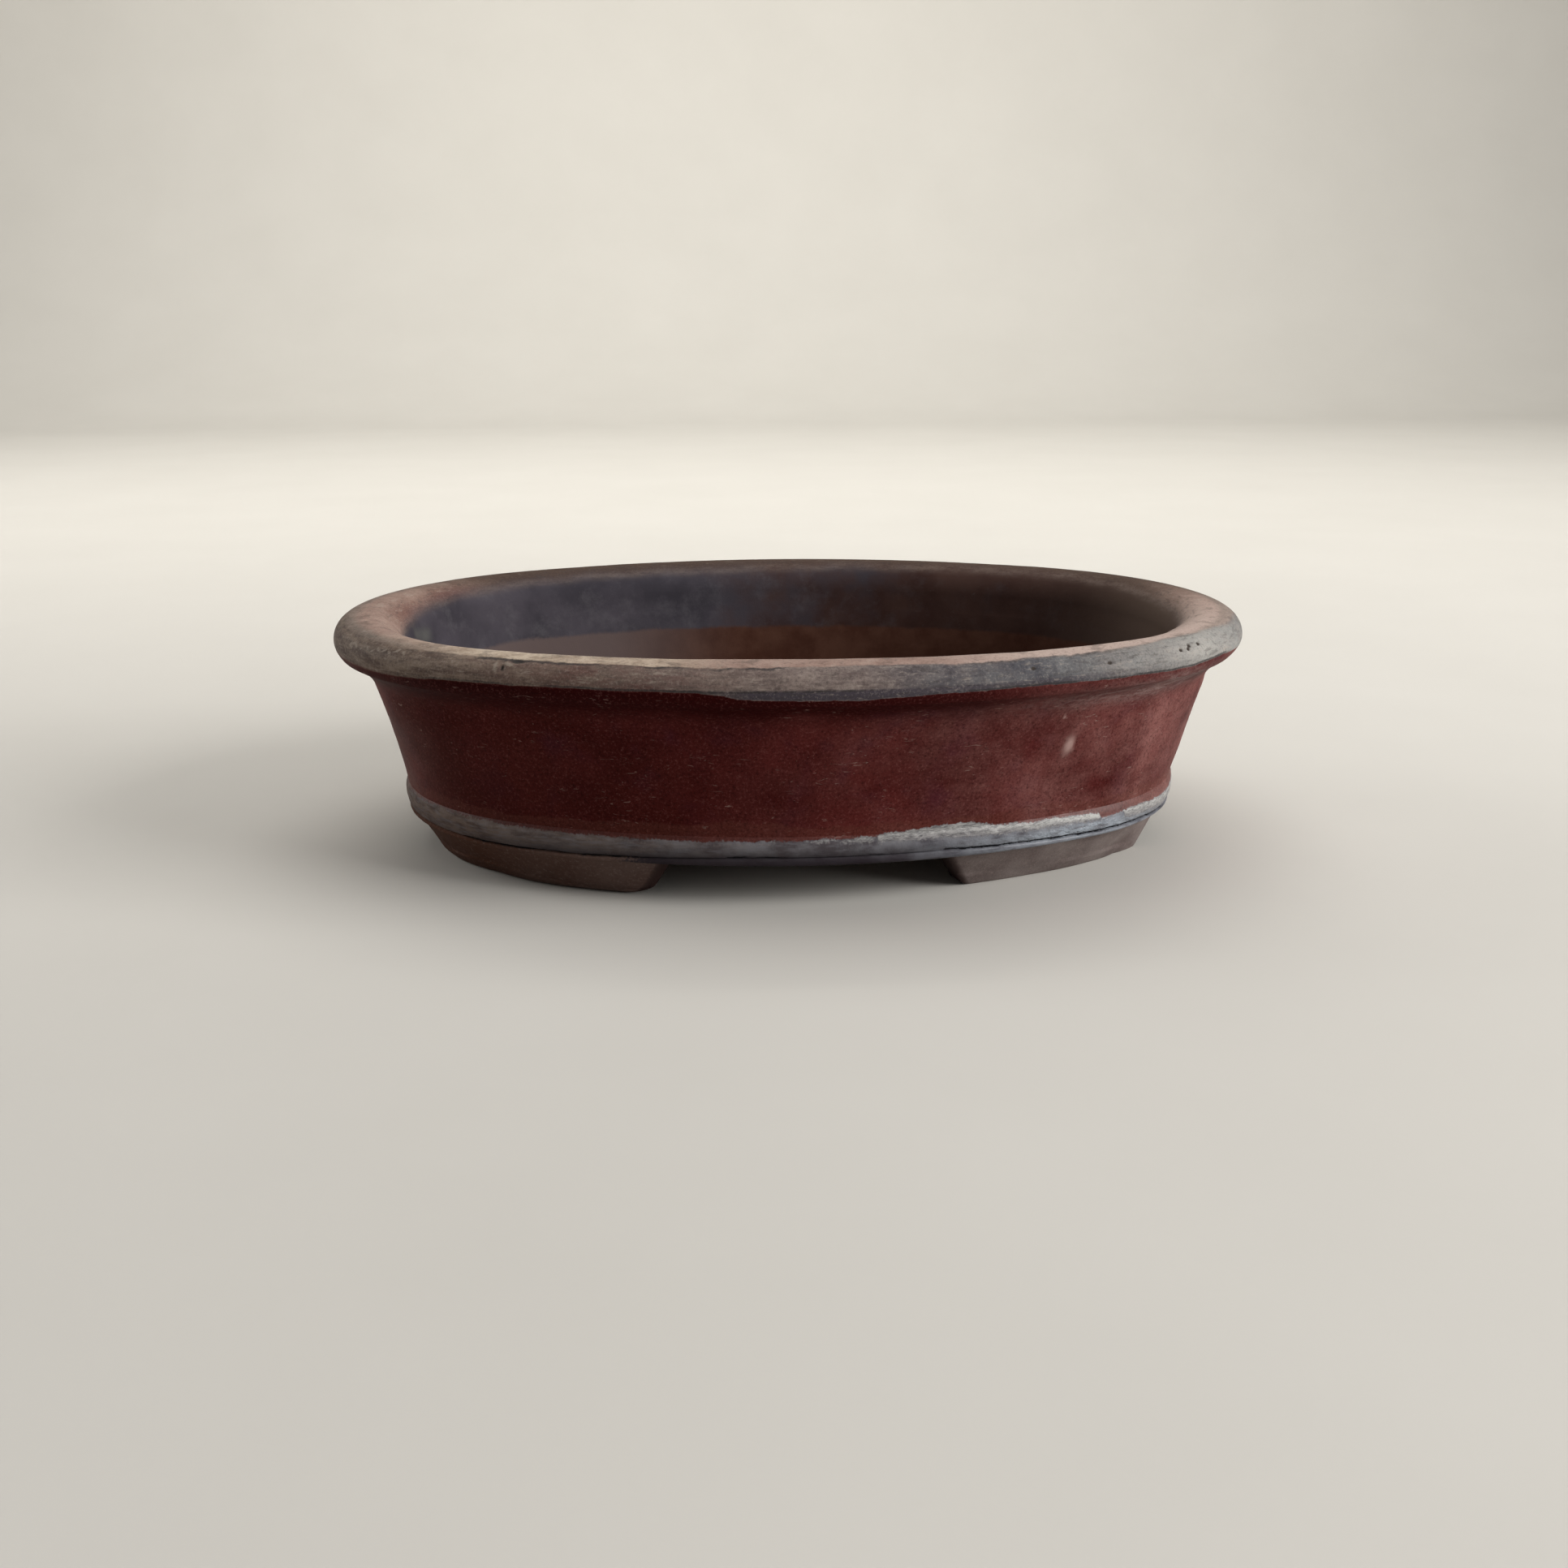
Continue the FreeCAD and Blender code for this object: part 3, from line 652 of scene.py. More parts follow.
def sheet_with_holes(outline, loops, level, spacing):
    """Small triangles that fill an outline in the plane, leaving the loops open."""
    edge_reach = oval_place(outline)[1].min()
    columns = np.arange(-HALF_LENGTH, HALF_LENGTH, spacing)
    rows = np.arange(-HALF_LENGTH, HALF_LENGTH, spacing * math.sqrt(3) / 2)
    column, row = np.meshgrid(columns, np.arange(len(rows)))
    across = (column + row % 2 * spacing / 2).ravel()
    inside = np.column_stack([across, rows[row].ravel(), np.full(across.shape, level)])
    inside = inside[oval_place(inside)[1] < edge_reach - spacing / 2]
    for loop in loops:
        middle = loop.mean(axis=0)
        widest = np.linalg.norm(loop - middle, axis=1).max()
        inside = inside[np.linalg.norm(inside - middle, axis=1) > widest + spacing / 3]
    edges = []
    start = 0
    for loop in (outline, *loops):
        edges += [(start + i, start + (i + 1) % len(loop)) for i in range(len(loop))]
        start += len(loop)
    points = np.concatenate([outline, *loops, inside])
    flat = [Vector(point[:2]) for point in points]
    flat, _, faces, _, _, _ = delaunay_2d_cdt(flat, edges, [], 1, 1e-6)
    flat = np.array(flat)
    faces = np.array(faces)
    middles = flat[faces].mean(axis=1)
    keep = np.ones(len(faces), bool)
    for loop in loops:
        middle = loop.mean(axis=0)[:2]
        corners, places = loop[:, :2] - middle, middles - middle
        radii = np.linalg.norm(corners, axis=1)
        turns = np.arctan2(corners[:, 1], corners[:, 0])
        ways = np.arctan2(places[:, 1], places[:, 0])
        edge = np.interp(ways, turns, radii, period=2 * math.pi)
        keep &= np.linalg.norm(places, axis=1) > edge
    return np.column_stack([flat, np.full(len(flat), level)]), faces[keep].tolist()


def build_floor_slab(material):
    """The slab between the wall and the feet, its rounded glazed edge and its holes."""
    lip = FLANGE_REACH - FLANGE_ROUND
    edge = np.concatenate([
        arc((lip, SEAT), (FLANGE_REACH, SEAT + FLANGE_ROUND), FLANGE_ROUND, 0.12),
        arc((FLANGE_REACH, PARTING - FLANGE_ROUND), (lip, PARTING), FLANGE_ROUND, 0.12),
        line((lip, PARTING), (SLAB_REACH, PARTING), 1.0),
        line((SLAB_REACH, PARTING), (SLAB_REACH, FLOOR_TOP), 1.0),
        [(SLAB_REACH, FLOOR_TOP)],
    ])
    angle = oval_angles(AROUND, EVEN_REACH)
    rim = oval_point(angle[:, None], edge[None, :, 0], edge[None, :, 1])
    parts = [(rim.reshape(-1, 3), grid_faces(AROUND, len(edge), (True, False)).tolist())]
    soft = HOLE_ROUND
    low_loops, high_loops = [], []
    for hole in drain_holes():
        bore = np.concatenate([
            arc((soft, SEAT), (0, SEAT + soft), -soft, 0.15),
            line((0, SEAT + soft), (0, FLOOR_TOP - soft), 0.5),
            arc((0, FLOOR_TOP - soft), (soft, FLOOR_TOP), -soft, 0.15),
            [(soft, FLOOR_TOP)],
        ])
        loops = [hole_loop(hole, wider, level) for wider, level in bore]
        faces = grid_faces(hole[3], len(bore), (True, False)).tolist()
        parts.append((np.stack(loops, axis=1).reshape(-1, 3), faces))
        low_loops.append(loops[0])
        high_loops.append(loops[-1])
    parts.append(sheet_with_holes(rim[:, 0], low_loops, SEAT, 1.3))
    parts.append(sheet_with_holes(rim[:, -1], high_loops, FLOOR_TOP, 1.0))
    points, faces = [], []
    for part_points, part_faces in parts:
        start = sum(len(group) for group in points)
        faces += [[start + corner for corner in face] for face in part_faces]
        points.append(part_points)
    points = np.concatenate(points)
    settled = settle(points)
    masks = glaze_map(settled)
    angle, reach = oval_place(points)
    for glazed in ("band", "crust", "pale", "ridge"):
        masks[glazed] *= around(angle, EDGE_GLAZE)
    # The slab's edge gets weaker gloss and a weaker painted reflection.
    masks["gloss_and_painted_sheen"] *= SLAB_GLOSS_AND_PAINTED_SHEEN
    edgewise = rise(reach, 59.5, 60.5)
    sideways = outward(points) * (relief(settled, masks) * edgewise)[:, None]
    trowel = cloud(points * np.array([0.5, 1.3, 1]), 6.0, 91, 3) - 1
    upward = 0.12 * trowel * (1 - rise(reach, 54, 58)) * np.where(points[:, 2] > PARTING, 1, -1)
    points = settled + sideways
    points[:, 2] += upward
    return make_object("drained_floor", points, faces, masks, material)


# The gap at the pot's side end (at the sole, under the slab), the softness of the edges from one
# end to the other, the wear and the flare of the front end, and the sole's outer reach along it.
FEET = {
    "foot_front_left": {
        "side": (9.0, 8.0), "soft": (1.9, 0.8), "worn_end": 0.25, "flare": 0.0,
        "sole": [(0, 57.0), (0.1, 56.9), (0.25, 55.9), (0.45, 55.3), (0.7, 55.8), (1, 56.3)],
    },
    "foot_front_right": {
        "side": (17.0, 16.0), "soft": (0.5, 0.35), "worn_end": 0.0, "flare": 1.3,
        "sole": [(0, 55.6), (0.5, 55.7), (0.8, 56.0), (1, 57.4)],
    },
    "foot_back_left": {
        "side": (9.0, 8.0), "soft": (0.8, 1.0), "worn_end": 0.3, "flare": 0.0,
        "sole": [(0, 56.0), (1, 56.3)],
    },
    "foot_back_right": {
        "side": (17.0, 16.0), "soft": (1.2, 0.7), "worn_end": 0.3, "flare": 0.0,
        "sole": [(0, 56.2), (1, 56.5)],
    },
}
FRONT_GAP = (22.8, 19.5)


def box_shell(long, deep, high, step):
    """Points and faces of the outside of a box with one corner at the origin."""
    points, faces = [], []
    size = np.array([long, deep, high])
    for axis in range(3):
        first, second = [other for other in range(3) if other != axis]
        across = np.linspace(0, size[first], round(size[first] / step) + 1)
        along = np.linspace(0, size[second], round(size[second] / step) + 1)
        for side in (0, size[axis]):
            panel = np.zeros((len(across), len(along), 3))
            panel[..., first] = across[:, None]
            panel[..., second] = along[None, :]
            panel[..., axis] = side
            start = sum(len(group) for group in points)
            faces += (start + grid_faces(len(across), len(along), (False, False))).tolist()
            points.append(panel.reshape(-1, 3))
    return np.concatenate(points), faces


def build_foot(name, foot, material):
    """One foot: a bar that follows the oval, its ends cut back and its lower edges softened."""
    to_right = 1 if name.endswith("right") else -1
    to_front = 1 if "front" in name else -1
    length, depth = FOOT_LENGTH, FOOT_TOP_REACH - FOOT_INNER_REACH
    shell, faces = box_shell(length, depth, SEAT, FOOT_STEP)
    share = shell[:, 0] / length
    soft = foot["soft"][0] + (foot["soft"][1] - foot["soft"][0]) * rise(share, 0.05, 0.3)
    soft = soft[:, None]
    far = np.array([length, depth, np.inf])
    core = np.clip(shell, soft, far - soft)
    away = shell - core
    away /= np.maximum(np.linalg.norm(away, axis=1), 1e-9)[:, None]
    block = core + away * soft
    edges = np.minimum(shell, far - shell)
    wear = np.exp(-np.sort(edges, axis=1)[:, 1] / WEAR_WIDTH)
    wear = np.maximum(wear, foot["worn_end"] * (1 - rise(share, 0.02, 0.11)))

    climb = block[:, 2] / SEAT
    inward = block[:, 1] / depth
    sole_reach = around(share, foot["sole"])
    outer_reach = sole_reach + (FOOT_TOP_REACH - sole_reach) * climb
    reach = outer_reach - (outer_reach - FOOT_INNER_REACH) * inward
    front_gap = FRONT_GAP[0] + (FRONT_GAP[1] - FRONT_GAP[0]) * climb - foot["flare"] * inward
    side_gap = foot["side"][0] + (foot["side"][1] - foot["side"][0]) * climb
    first = np.degrees(np.arcsin(front_gap / (reach - SIDE_DROP + SIDE_CENTRE)))
    last = np.degrees(np.arccos(side_gap / (reach - END_CENTRE)))
    angle = first + (last - first) * block[:, 0] / length
    points = oval_point(angle, reach, block[:, 2])
    points[:, 0] *= to_right
    points[:, 1] *= to_front
    out = outward(points)
    shaped = 0.12 * (cloud(points, 7.0, 101 + to_right, 3) - 0.8)
    shaped += 0.03 * cloud(points, 1.5, 111, 2)
    points += out * (shaped * (1 - rise(climb, 0.8, 1.0)))[:, None]
    masks = glaze_map(points)
    masks["wear"] = wear
    # Painted shadow on the foot's end face in the gap.
    masks["painted_gap_shadow"] = 1 - rise(share, 0.004, 0.02)
    return make_object(name + "_clay", points, faces, masks, material)


# ---- materials
RED_SHINE, RIM_SHINE, BELT_SHINE, CLAY_SHINE = 0.035, 0.04, 0.25, 0.12


class Sheet:
    """A material being filled in, with short names for the nodes that the glazes use."""

    def __init__(self, name):
        self.material = bpy.data.materials.new(name)
        self.material.use_nodes = True
        self.nodes = self.material.node_tree.nodes
        self.links = self.material.node_tree.links
        self.shader = self.nodes["Principled BSDF"]
        self.place = self.nodes.new("ShaderNodeTexCoord").outputs["Object"]

    def put(self, value, socket):
        """A number, a colour or another node's output into a socket."""
        if isinstance(value, bpy.types.NodeSocket):
            self.links.new(value, socket)
        elif isinstance(value, tuple):
            socket.default_value = (*value, 1.0)
        else:
            socket.default_value = value

    def mask(self, name):
        node = self.nodes.new("ShaderNodeAttribute")
        node.attribute_name = name
        return node.outputs["Fac"]

    def sums(self, operation, first, second):
        node = self.nodes.new("ShaderNodeMath")
        node.operation = operation
        self.put(first, node.inputs[0])
        self.put(second, node.inputs[1])
        return node.outputs[0]

    def times(self, first, second):
        return self.sums("MULTIPLY", first, second)

    def blend(self, share, first, second, kind="FLOAT"):
        """The first number where the share is 0, and the second where it is 1."""
        node = self.nodes.new("ShaderNodeMix")
        node.data_type = kind
        self.put(share, node.inputs["Factor"])
        self.put(first, node.inputs["A"])
        self.put(second, node.inputs["B"])
        return node.outputs["Result"]

    def mix(self, share, first, second):
        """The same for two colours."""
        return self.blend(share, first, second, "RGBA")

    def over(self, base, *layers):
        """Colours laid over a base one after another, each with its own share."""
        for share, colour in layers:
            base = self.mix(share, base, colour)
        return base

    def step(self, value, low, high):
        """0 up to low, 1 from high on."""
        node = self.nodes.new("ShaderNodeMapRange")
        node.interpolation_type = "SMOOTHSTEP"
        self.put(value, node.inputs["Value"])
        node.inputs["From Min"].default_value = low
        node.inputs["From Max"].default_value = high
        return node.outputs["Result"]

    def texture(self, kind, size, stretch=(1, 1, 1), shift=0.0):
        """A texture node whose cells have that size in millimetres."""
        where = self.nodes.new("ShaderNodeMapping")
        where.inputs["Scale"].default_value = tuple(1 / MM / size / part for part in stretch)
        where.inputs["Location"].default_value = (shift, shift, shift)
        node = self.nodes.new(kind)
        node.inputs["Scale"].default_value = 1.0
        self.links.new(self.place, where.inputs["Vector"])
        self.links.new(where.outputs["Vector"], node.inputs["Vector"])
        return node

    def clouds(self, size, detail=4.0, rough=0.55, stretch=(1, 1, 1), shift=0.0, warp=0.0):
        """Noise from 0 to 1."""
        node = self.texture("ShaderNodeTexNoise", size, stretch, shift)
        node.inputs["Detail"].default_value = detail
        node.inputs["Roughness"].default_value = rough
        node.inputs["Distortion"].default_value = warp
        return node.outputs["Fac"]

    def grains(self, size):
        """The distance from the nearest of many scattered points, in cells."""
        return self.texture("ShaderNodeTexVoronoi", size).outputs["Distance"]

    def frayed(self, name, size=0.5, amount=0.5, low=0.35, high=0.65):
        """A mask with its edge broken up by fine noise."""
        grain = self.times(self.sums("SUBTRACT", self.clouds(size, 3.0), 0.5), amount)
        return self.step(self.sums("ADD", self.mask(name), grain), low, high)

    def bump(self, height, depth, under=None):
        """A bump of that depth in millimetres."""
        node = self.nodes.new("ShaderNodeBump")
        node.inputs["Distance"].default_value = depth * MM
        self.put(height, node.inputs["Height"])
        if under:
            self.links.new(under, node.inputs["Normal"])
        return node.outputs["Normal"]

    def finish(self, colour, roughness, normal, level):
        self.put(colour, self.shader.inputs["Base Color"])
        self.put(roughness, self.shader.inputs["Roughness"])
        self.put(normal, self.shader.inputs["Normal"])
        self.put(level, self.shader.inputs["Specular IOR Level"])
        return self.material


def red_layers(sheet):
    """The oxblood glaze: colour and roughness."""
    brown = sheet.times(sheet.mask("left"), sheet.step(sheet.clouds(20, 4, shift=3), 0.3, 0.6))
    grit = sheet.clouds(0.4, 4, 0.8)
    # A pale film of dust, which is also painted light and painted sheen where the light falls and
    # grazes.
    haze_and_painted_light = sheet.step(sheet.clouds(3.0, 6, 0.6, (1, 1, 1.5)), 0.2, 0.8)
    haze_and_painted_light = sheet.times(sheet.blend(0.5, haze_and_painted_light, grit), sheet.mask("dust_and_painted_light"))
    swirl = sheet.clouds(1.6, 5, 0.6, (2.2, 2.2, 0.7), shift=2, warp=1.5)
    swirl = sheet.blend(sheet.step(swirl, 0.42, 0.62), 0.3, 1.0)
    speck = sheet.step(sheet.clouds(3.5, 4, shift=11), 0.50, 0.70)
    speck = sheet.times(sheet.step(sheet.grains(0.5), 0.16, 0.08), speck)
    scratch = sheet.step(sheet.clouds(0.4, 2, 0.5, (5, 5, 1), shift=23, warp=1.5), 0.64, 0.72)
    scratch = sheet.times(scratch, sheet.step(sheet.clouds(6, 2, shift=5), 0.5, 0.6))
    colour = sheet.over(
        (0.042, 0.0045, 0.0040),
        (sheet.step(sheet.clouds(14, 5), 0.35, 0.65), (0.074, 0.0115, 0.0105)),
        (sheet.step(sheet.clouds(7, 4, shift=7), 0.50, 0.75), (0.052, 0.009, 0.013)),
        (sheet.times(brown, 0.6), (0.042, 0.0045, 0.0025)),
        (sheet.times(haze_and_painted_light, 0.85), (0.27, 0.125, 0.113)),
        (sheet.times(swirl, sheet.mask("swirl")), (0.30, 0.21, 0.20)),
        (sheet.times(sheet.frayed("foot_dust", 2.0, 0.8), 0.3), (0.105, 0.035, 0.025)),
        # Near-black red under the lip: pooled glaze and painted shade.
        (sheet.times(sheet.mask("pool_and_painted_shade"), 0.95), (0.022, 0.0005, 0.0005)),
        (sheet.times(sheet.step(grit, 0.53, 0.68), 0.18), (0.30, 0.13, 0.12)),
        (sheet.times(sheet.step(grit, 0.48, 0.35), 0.55), (0.010, 0.001, 0.001)),
        (sheet.times(speck, 0.35), (0.26, 0.17, 0.14)),
        (sheet.times(scratch, 0.5), (0.24, 0.16, 0.14)),
        (sheet.times(sheet.mask("blob"), 0.8), (0.33, 0.22, 0.20)),
    )
    rough = sheet.blend(sheet.mask("dust_and_painted_light"), 0.45, 0.6)
    return colour, sheet.blend(sheet.mask("sheltered"), rough, 0.6)


def inside_layers(sheet, colour, rough):
    """The inside: thin blue-grey glaze above, and bare brown clay below."""
    # The shade mask paints the inside darker where it faces away from the light, with less of the
    # pale film there.
    shade = sheet.mask("shade")
    dark = sheet.step(sheet.clouds(12, 5, shift=4), 0.35, 0.65)
    dark = sheet.mix(dark, (0.028, 0.013, 0.011), (0.043, 0.023, 0.019))
    film = sheet.step(sheet.clouds(4.5, 7, 0.7, shift=15), 0.48, 0.72)
    glaze = sheet.over(
        (0.031, 0.028, 0.035),
        (sheet.step(sheet.clouds(9, 5), 0.3, 0.7), (0.052, 0.046, 0.056)),
        (sheet.step(sheet.sums("ADD", shade, sheet.clouds(9, 3)), 0.8, 1.3), dark),
        (sheet.times(film, sheet.blend(shade, 0.45, 0.08)), (0.085, 0.079, 0.088)),
        (sheet.step(sheet.clouds(0.7, 5, 0.75), 0.60, 0.85), (0.065, 0.055, 0.055)),
        # A painted highlight on the left inner wall.
        (sheet.times(sheet.frayed("painted_highlight", 1.5, 0.4, 0.1, 1.3), 0.7), (0.10, 0.10, 0.09)),
        (sheet.mask("olive"), (0.075, 0.052, 0.041)),
    )
    clay = sheet.over(
        (0.044, 0.017, 0.011),
        (sheet.step(sheet.clouds(5, 6, 0.6), 0.3, 0.7), (0.068, 0.031, 0.021)),
        # Bare clay painted lighter on the lit left: partly dust, partly painted light.
        (sheet.step(shade, 0.45, 0.0), (0.092, 0.070, 0.068)),
    )
    bare = sheet.frayed("bare", 0.6, 0.4, 0.2, 0.8)
    colour = sheet.over(colour, (sheet.mask("inside"), glaze), (bare, clay))
    rough = sheet.blend(sheet.mask("inside"), rough, 0.6)
    return colour, sheet.blend(sheet.mask("bare"), rough, 0.9)


def belt_layers(sheet, colour, rough):
    """The grey glaze round the foot, and the pale crust on its upper edge."""
    left, gloss_and_painted_sheen = sheet.mask("left"), sheet.mask("gloss_and_painted_sheen")
    brown = sheet.step(sheet.clouds(1.6, 5, 0.65, (3, 3, 0.8), shift=9), 0.35, 0.65)
    streak = sheet.step(sheet.clouds(0.4, 4, 0.6, (6, 6, 1)), 0.45, 0.7)
    painted_sheen_smear = sheet.step(sheet.clouds(0.5, 4, 0.6, (5, 5, 1), shift=14), 0.25, 0.6)
    grey = sheet.over(
        (0.050, 0.045, 0.055),
        (sheet.step(sheet.clouds(4, 5), 0.35, 0.65), (0.145, 0.146, 0.165)),
        (left, sheet.mix(brown, (0.058, 0.034, 0.027), (0.135, 0.097, 0.080))),
        (sheet.times(streak, 0.4), (0.15, 0.145, 0.165)),
        # Painted shade on the lower belt and the slab's edge.
        (sheet.mask("low"), (0.014, 0.009, 0.013)),
        # A painted reflection: blue-white streaks on the glossy lower belt.
        (sheet.times(painted_sheen_smear, gloss_and_painted_sheen), (0.25, 0.28, 0.32)),
    )
    grains = sheet.clouds(0.5, 8, 0.8, (3.0, 3.0, 0.7), warp=0.8)
    crust = sheet.mix(sheet.step(grains, 0.38, 0.62), (0.07, 0.064, 0.070), (0.24, 0.23, 0.235))
    pale = sheet.mix(sheet.step(grains, 0.36, 0.60), (0.14, 0.14, 0.145), (0.42, 0.42, 0.40))
    crusted = sheet.frayed("crust", 0.35, 1.2, 0.25, 0.75)
    colour = sheet.over(
        colour,
        (sheet.frayed("band", 0.35, 1.1, 0.3, 0.7), grey),
        (crusted, sheet.mix(sheet.mask("pale"), crust, pale)),
        (sheet.times(sheet.frayed("ridge", 0.4, 0.6, 0.2, 0.9), 0.8), (0.20, 0.165, 0.155)),
        (sheet.frayed("parting", 0.4, 1.0, 0.25, 0.85), (0.010, 0.009, 0.011)),
    )
    satin = sheet.blend(left, sheet.blend(sheet.clouds(2.0, 3), 0.12, 0.5), 0.8)
    satin = sheet.blend(gloss_and_painted_sheen, sheet.blend(sheet.mask("low"), satin, 0.8), 0.1)
    rough = sheet.blend(sheet.mask("band"), rough, satin)
    return colour, sheet.blend(sheet.times(crusted, sheet.mask("pale")), rough, 0.55)


def orange_peel(sheet, depth=0.03):
    """The fine unevenness of a satin glaze."""
    wide = sheet.bump(sheet.clouds(1.4, 3, 0.5), depth)
    return sheet.bump(sheet.clouds(0.22, 2, 0.6), depth * 0.35, wide)


def red_glaze():
    sheet = Sheet("red_glaze")
    colour, rough = red_layers(sheet)
    colour, rough = inside_layers(sheet, colour, rough)
    colour, rough = belt_layers(sheet, colour, rough)
    return sheet.finish(colour, rough, orange_peel(sheet), RED_SHINE)


def rim_glaze():
    sheet = Sheet("rim_glaze")
    colour, rough = red_layers(sheet)
    back, run = sheet.mask("back"), sheet.mask("run")
    grit = sheet.clouds(0.4, 4, 0.8)
    thread = sheet.clouds(0.45, 5, 0.7, (7, 7, 1), shift=18, warp=0.4)
    mottle = sheet.step(sheet.clouds(2.0, 6, 0.7, (2.5, 2.5, 0.6)), 0.35, 0.65)
    olive = sheet.step(sheet.clouds(1.8, 6, 0.7, (4, 4, 0.6), shift=6), 0.35, 0.65)
    blue = sheet.over(
        (0.043, 0.042, 0.052),
        (sheet.step(sheet.clouds(4.5, 6, 0.65, shift=12), 0.3, 0.7), (0.105, 0.104, 0.110)),
        # Painted light on the lit right front of the lip face.
        (sheet.mask("bright"), (0.29, 0.29, 0.275)),
    )
    tan = sheet.step(sheet.clouds(2.5, 5, 0.6, shift=4), 0.3, 0.7)
    crest = sheet.over(
        (0.19, 0.115, 0.096),
        (sheet.step(sheet.clouds(3, 6, 0.6), 0.3, 0.7), (0.28, 0.19, 0.162)),
        (sheet.times(sheet.mask("rosy"), 0.9), (0.40, 0.31, 0.275)),
        (sheet.mask("tan"), sheet.mix(tan, (0.25, 0.19, 0.14), (0.45, 0.37, 0.29))),
        (sheet.mask("fade"), (0.115, 0.098, 0.084)),
        (back, (0.062, 0.040, 0.031)),
    )
    pale_thread = sheet.times(sheet.step(thread, 0.55, 0.70), sheet.blend(back, 0.4, 0.1))
    pale_grit = sheet.times(sheet.step(grit, 0.52, 0.66), sheet.blend(back, 0.2, 0.06))
    lines = sheet.frayed("dark_line", 0.35, 0.9, 0.15, 0.9)
    face = sheet.over(
        (0.100, 0.070, 0.064),
        (mottle, (0.26, 0.205, 0.182)),
        (sheet.mask("left"), sheet.mix(olive, (0.085, 0.055, 0.043), (0.195, 0.147, 0.114))),
        (sheet.times(sheet.mask("russet"), mottle), (0.100, 0.050, 0.042)),
        (sheet.mask("blue"), blue),
        (run, (0.050, 0.042, 0.052)),
        (sheet.frayed("crest", 0.35, 0.25, 0.2, 0.8), crest),
        (sheet.times(sheet.mask("flush"), 0.9), (0.120, 0.058, 0.048)),
        (sheet.times(sheet.step(thread, 0.48, 0.36), 0.4), (0.045, 0.037, 0.034)),
        (pale_thread, (0.33, 0.28, 0.24)),
        (pale_grit, (0.40, 0.35, 0.31)),
        (sheet.times(sheet.step(grit, 0.48, 0.34), 0.45), (0.035, 0.030, 0.028)),
        (sheet.frayed("chip", 0.3, 0.4, 0.3, 0.7), (0.040, 0.032, 0.028)),
        (sheet.times(lines, 0.85), (0.028, 0.025, 0.026)),
        (sheet.times(sheet.frayed("scar", 0.25, 0.7, 0.15, 0.75), 0.7), (0.25, 0.21, 0.175)),
    )
    colour = sheet.mix(sheet.frayed("lip", 0.3, 0.2, 0.25, 0.75), colour, face)
    rough = sheet.blend(sheet.mask("lip"), rough, sheet.blend(sheet.clouds(3, 4), 0.45, 0.65))
    rough = sheet.blend(run, rough, 0.35)
    colour, rough = inside_layers(sheet, colour, rough)
    rough = sheet.blend(back, rough, 0.8)
    return sheet.finish(colour, rough, orange_peel(sheet, 0.04), RIM_SHINE)


def belt_glaze():
    sheet = Sheet("belt_glaze")
    colour, rough = red_layers(sheet)
    colour, rough = belt_layers(sheet, colour, rough)
    beads = sheet.times(sheet.clouds(0.8, 3, 0.5, (2, 2, 1), shift=16), sheet.mask("gloss_and_painted_sheen"))
    beads = sheet.bump(beads, 0.6, orange_peel(sheet, 0.08))
    return sheet.finish(colour, rough, beads, BELT_SHINE)


def clay_layers(sheet):
    """Fired clay without glaze, a reddish grey brown with a fine grain, painted darker on the left
    as painted shade.
    """
    dots = sheet.step(sheet.clouds(0.35, 3, 0.7, shift=8), 0.60, 0.75)
    return sheet.over(
        (0.105, 0.080, 0.076),
        (sheet.step(sheet.clouds(8, 5), 0.3, 0.7), (0.175, 0.145, 0.137)),
        # Painted shade: the clay is darker on the left, away from the light.
        (sheet.mask("left"), (0.066, 0.026, 0.015)),
        (sheet.times(sheet.step(sheet.clouds(0.5, 4, 0.75), 0.5, 0.8), 0.5), (0.26, 0.20, 0.18)),
        (sheet.times(dots, 0.6), (0.035, 0.022, 0.02)),
    )


def foot_clay():
    sheet = Sheet("foot_clay")
    colour = sheet.over(
        clay_layers(sheet),
        (sheet.times(sheet.frayed("wear", 0.6, 0.6, 0.3, 0.9), 0.3), (0.20, 0.16, 0.14)),
        # Painted shadow on the foot's end in the gap.
        (sheet.times(sheet.mask("painted_gap_shadow"), 0.9), (0.024, 0.011, 0.010)),
    )
    grain = sheet.bump(sheet.clouds(0.35, 3, 0.6), 0.05)
    return sheet.finish(colour, sheet.blend(sheet.clouds(2.0), 0.7, 0.9), grain, CLAY_SHINE)


def floor_clay():
    """The slab: bare clay, glazed grey only round its edge."""
    sheet = Sheet("floor_clay")
    inside = sheet.step(sheet.clouds(6, 6, 0.6), 0.3, 0.7)
    inside = sheet.mix(inside, (0.050, 0.026, 0.019), (0.10, 0.055, 0.040))
    colour = sheet.mix(sheet.mask("bare"), clay_layers(sheet), inside)
    colour, rough = belt_layers(sheet, colour, 0.85)
    grain = sheet.bump(sheet.clouds(0.6, 4, 0.6), 0.05)
    return sheet.finish(colour, rough, grain, CLAY_SHINE)


# ---- the studio
def build_camera():
    """The view from just above the rim, a little to the left of the middle."""
    place = Vector((-19.26, -263.44, 81.61)) * MM
    heading, pitch, roll = -3.93, -15.86, -0.21
    data = bpy.data.cameras.new("camera")
    data.sensor_width = 36.0
    data.lens = 38.77
    data.clip_start = 0.005
    camera = place_object("camera", data)
    turn = Matrix.Rotation(math.radians(heading), 4, "Z")
    turn @= Matrix.Rotation(math.radians(90 + pitch), 4, "X")
    turn @= Matrix.Rotation(math.radians(roll), 4, "Z")
    camera.matrix_world = Matrix.Translation(place) @ turn
    bpy.context.scene.camera = camera


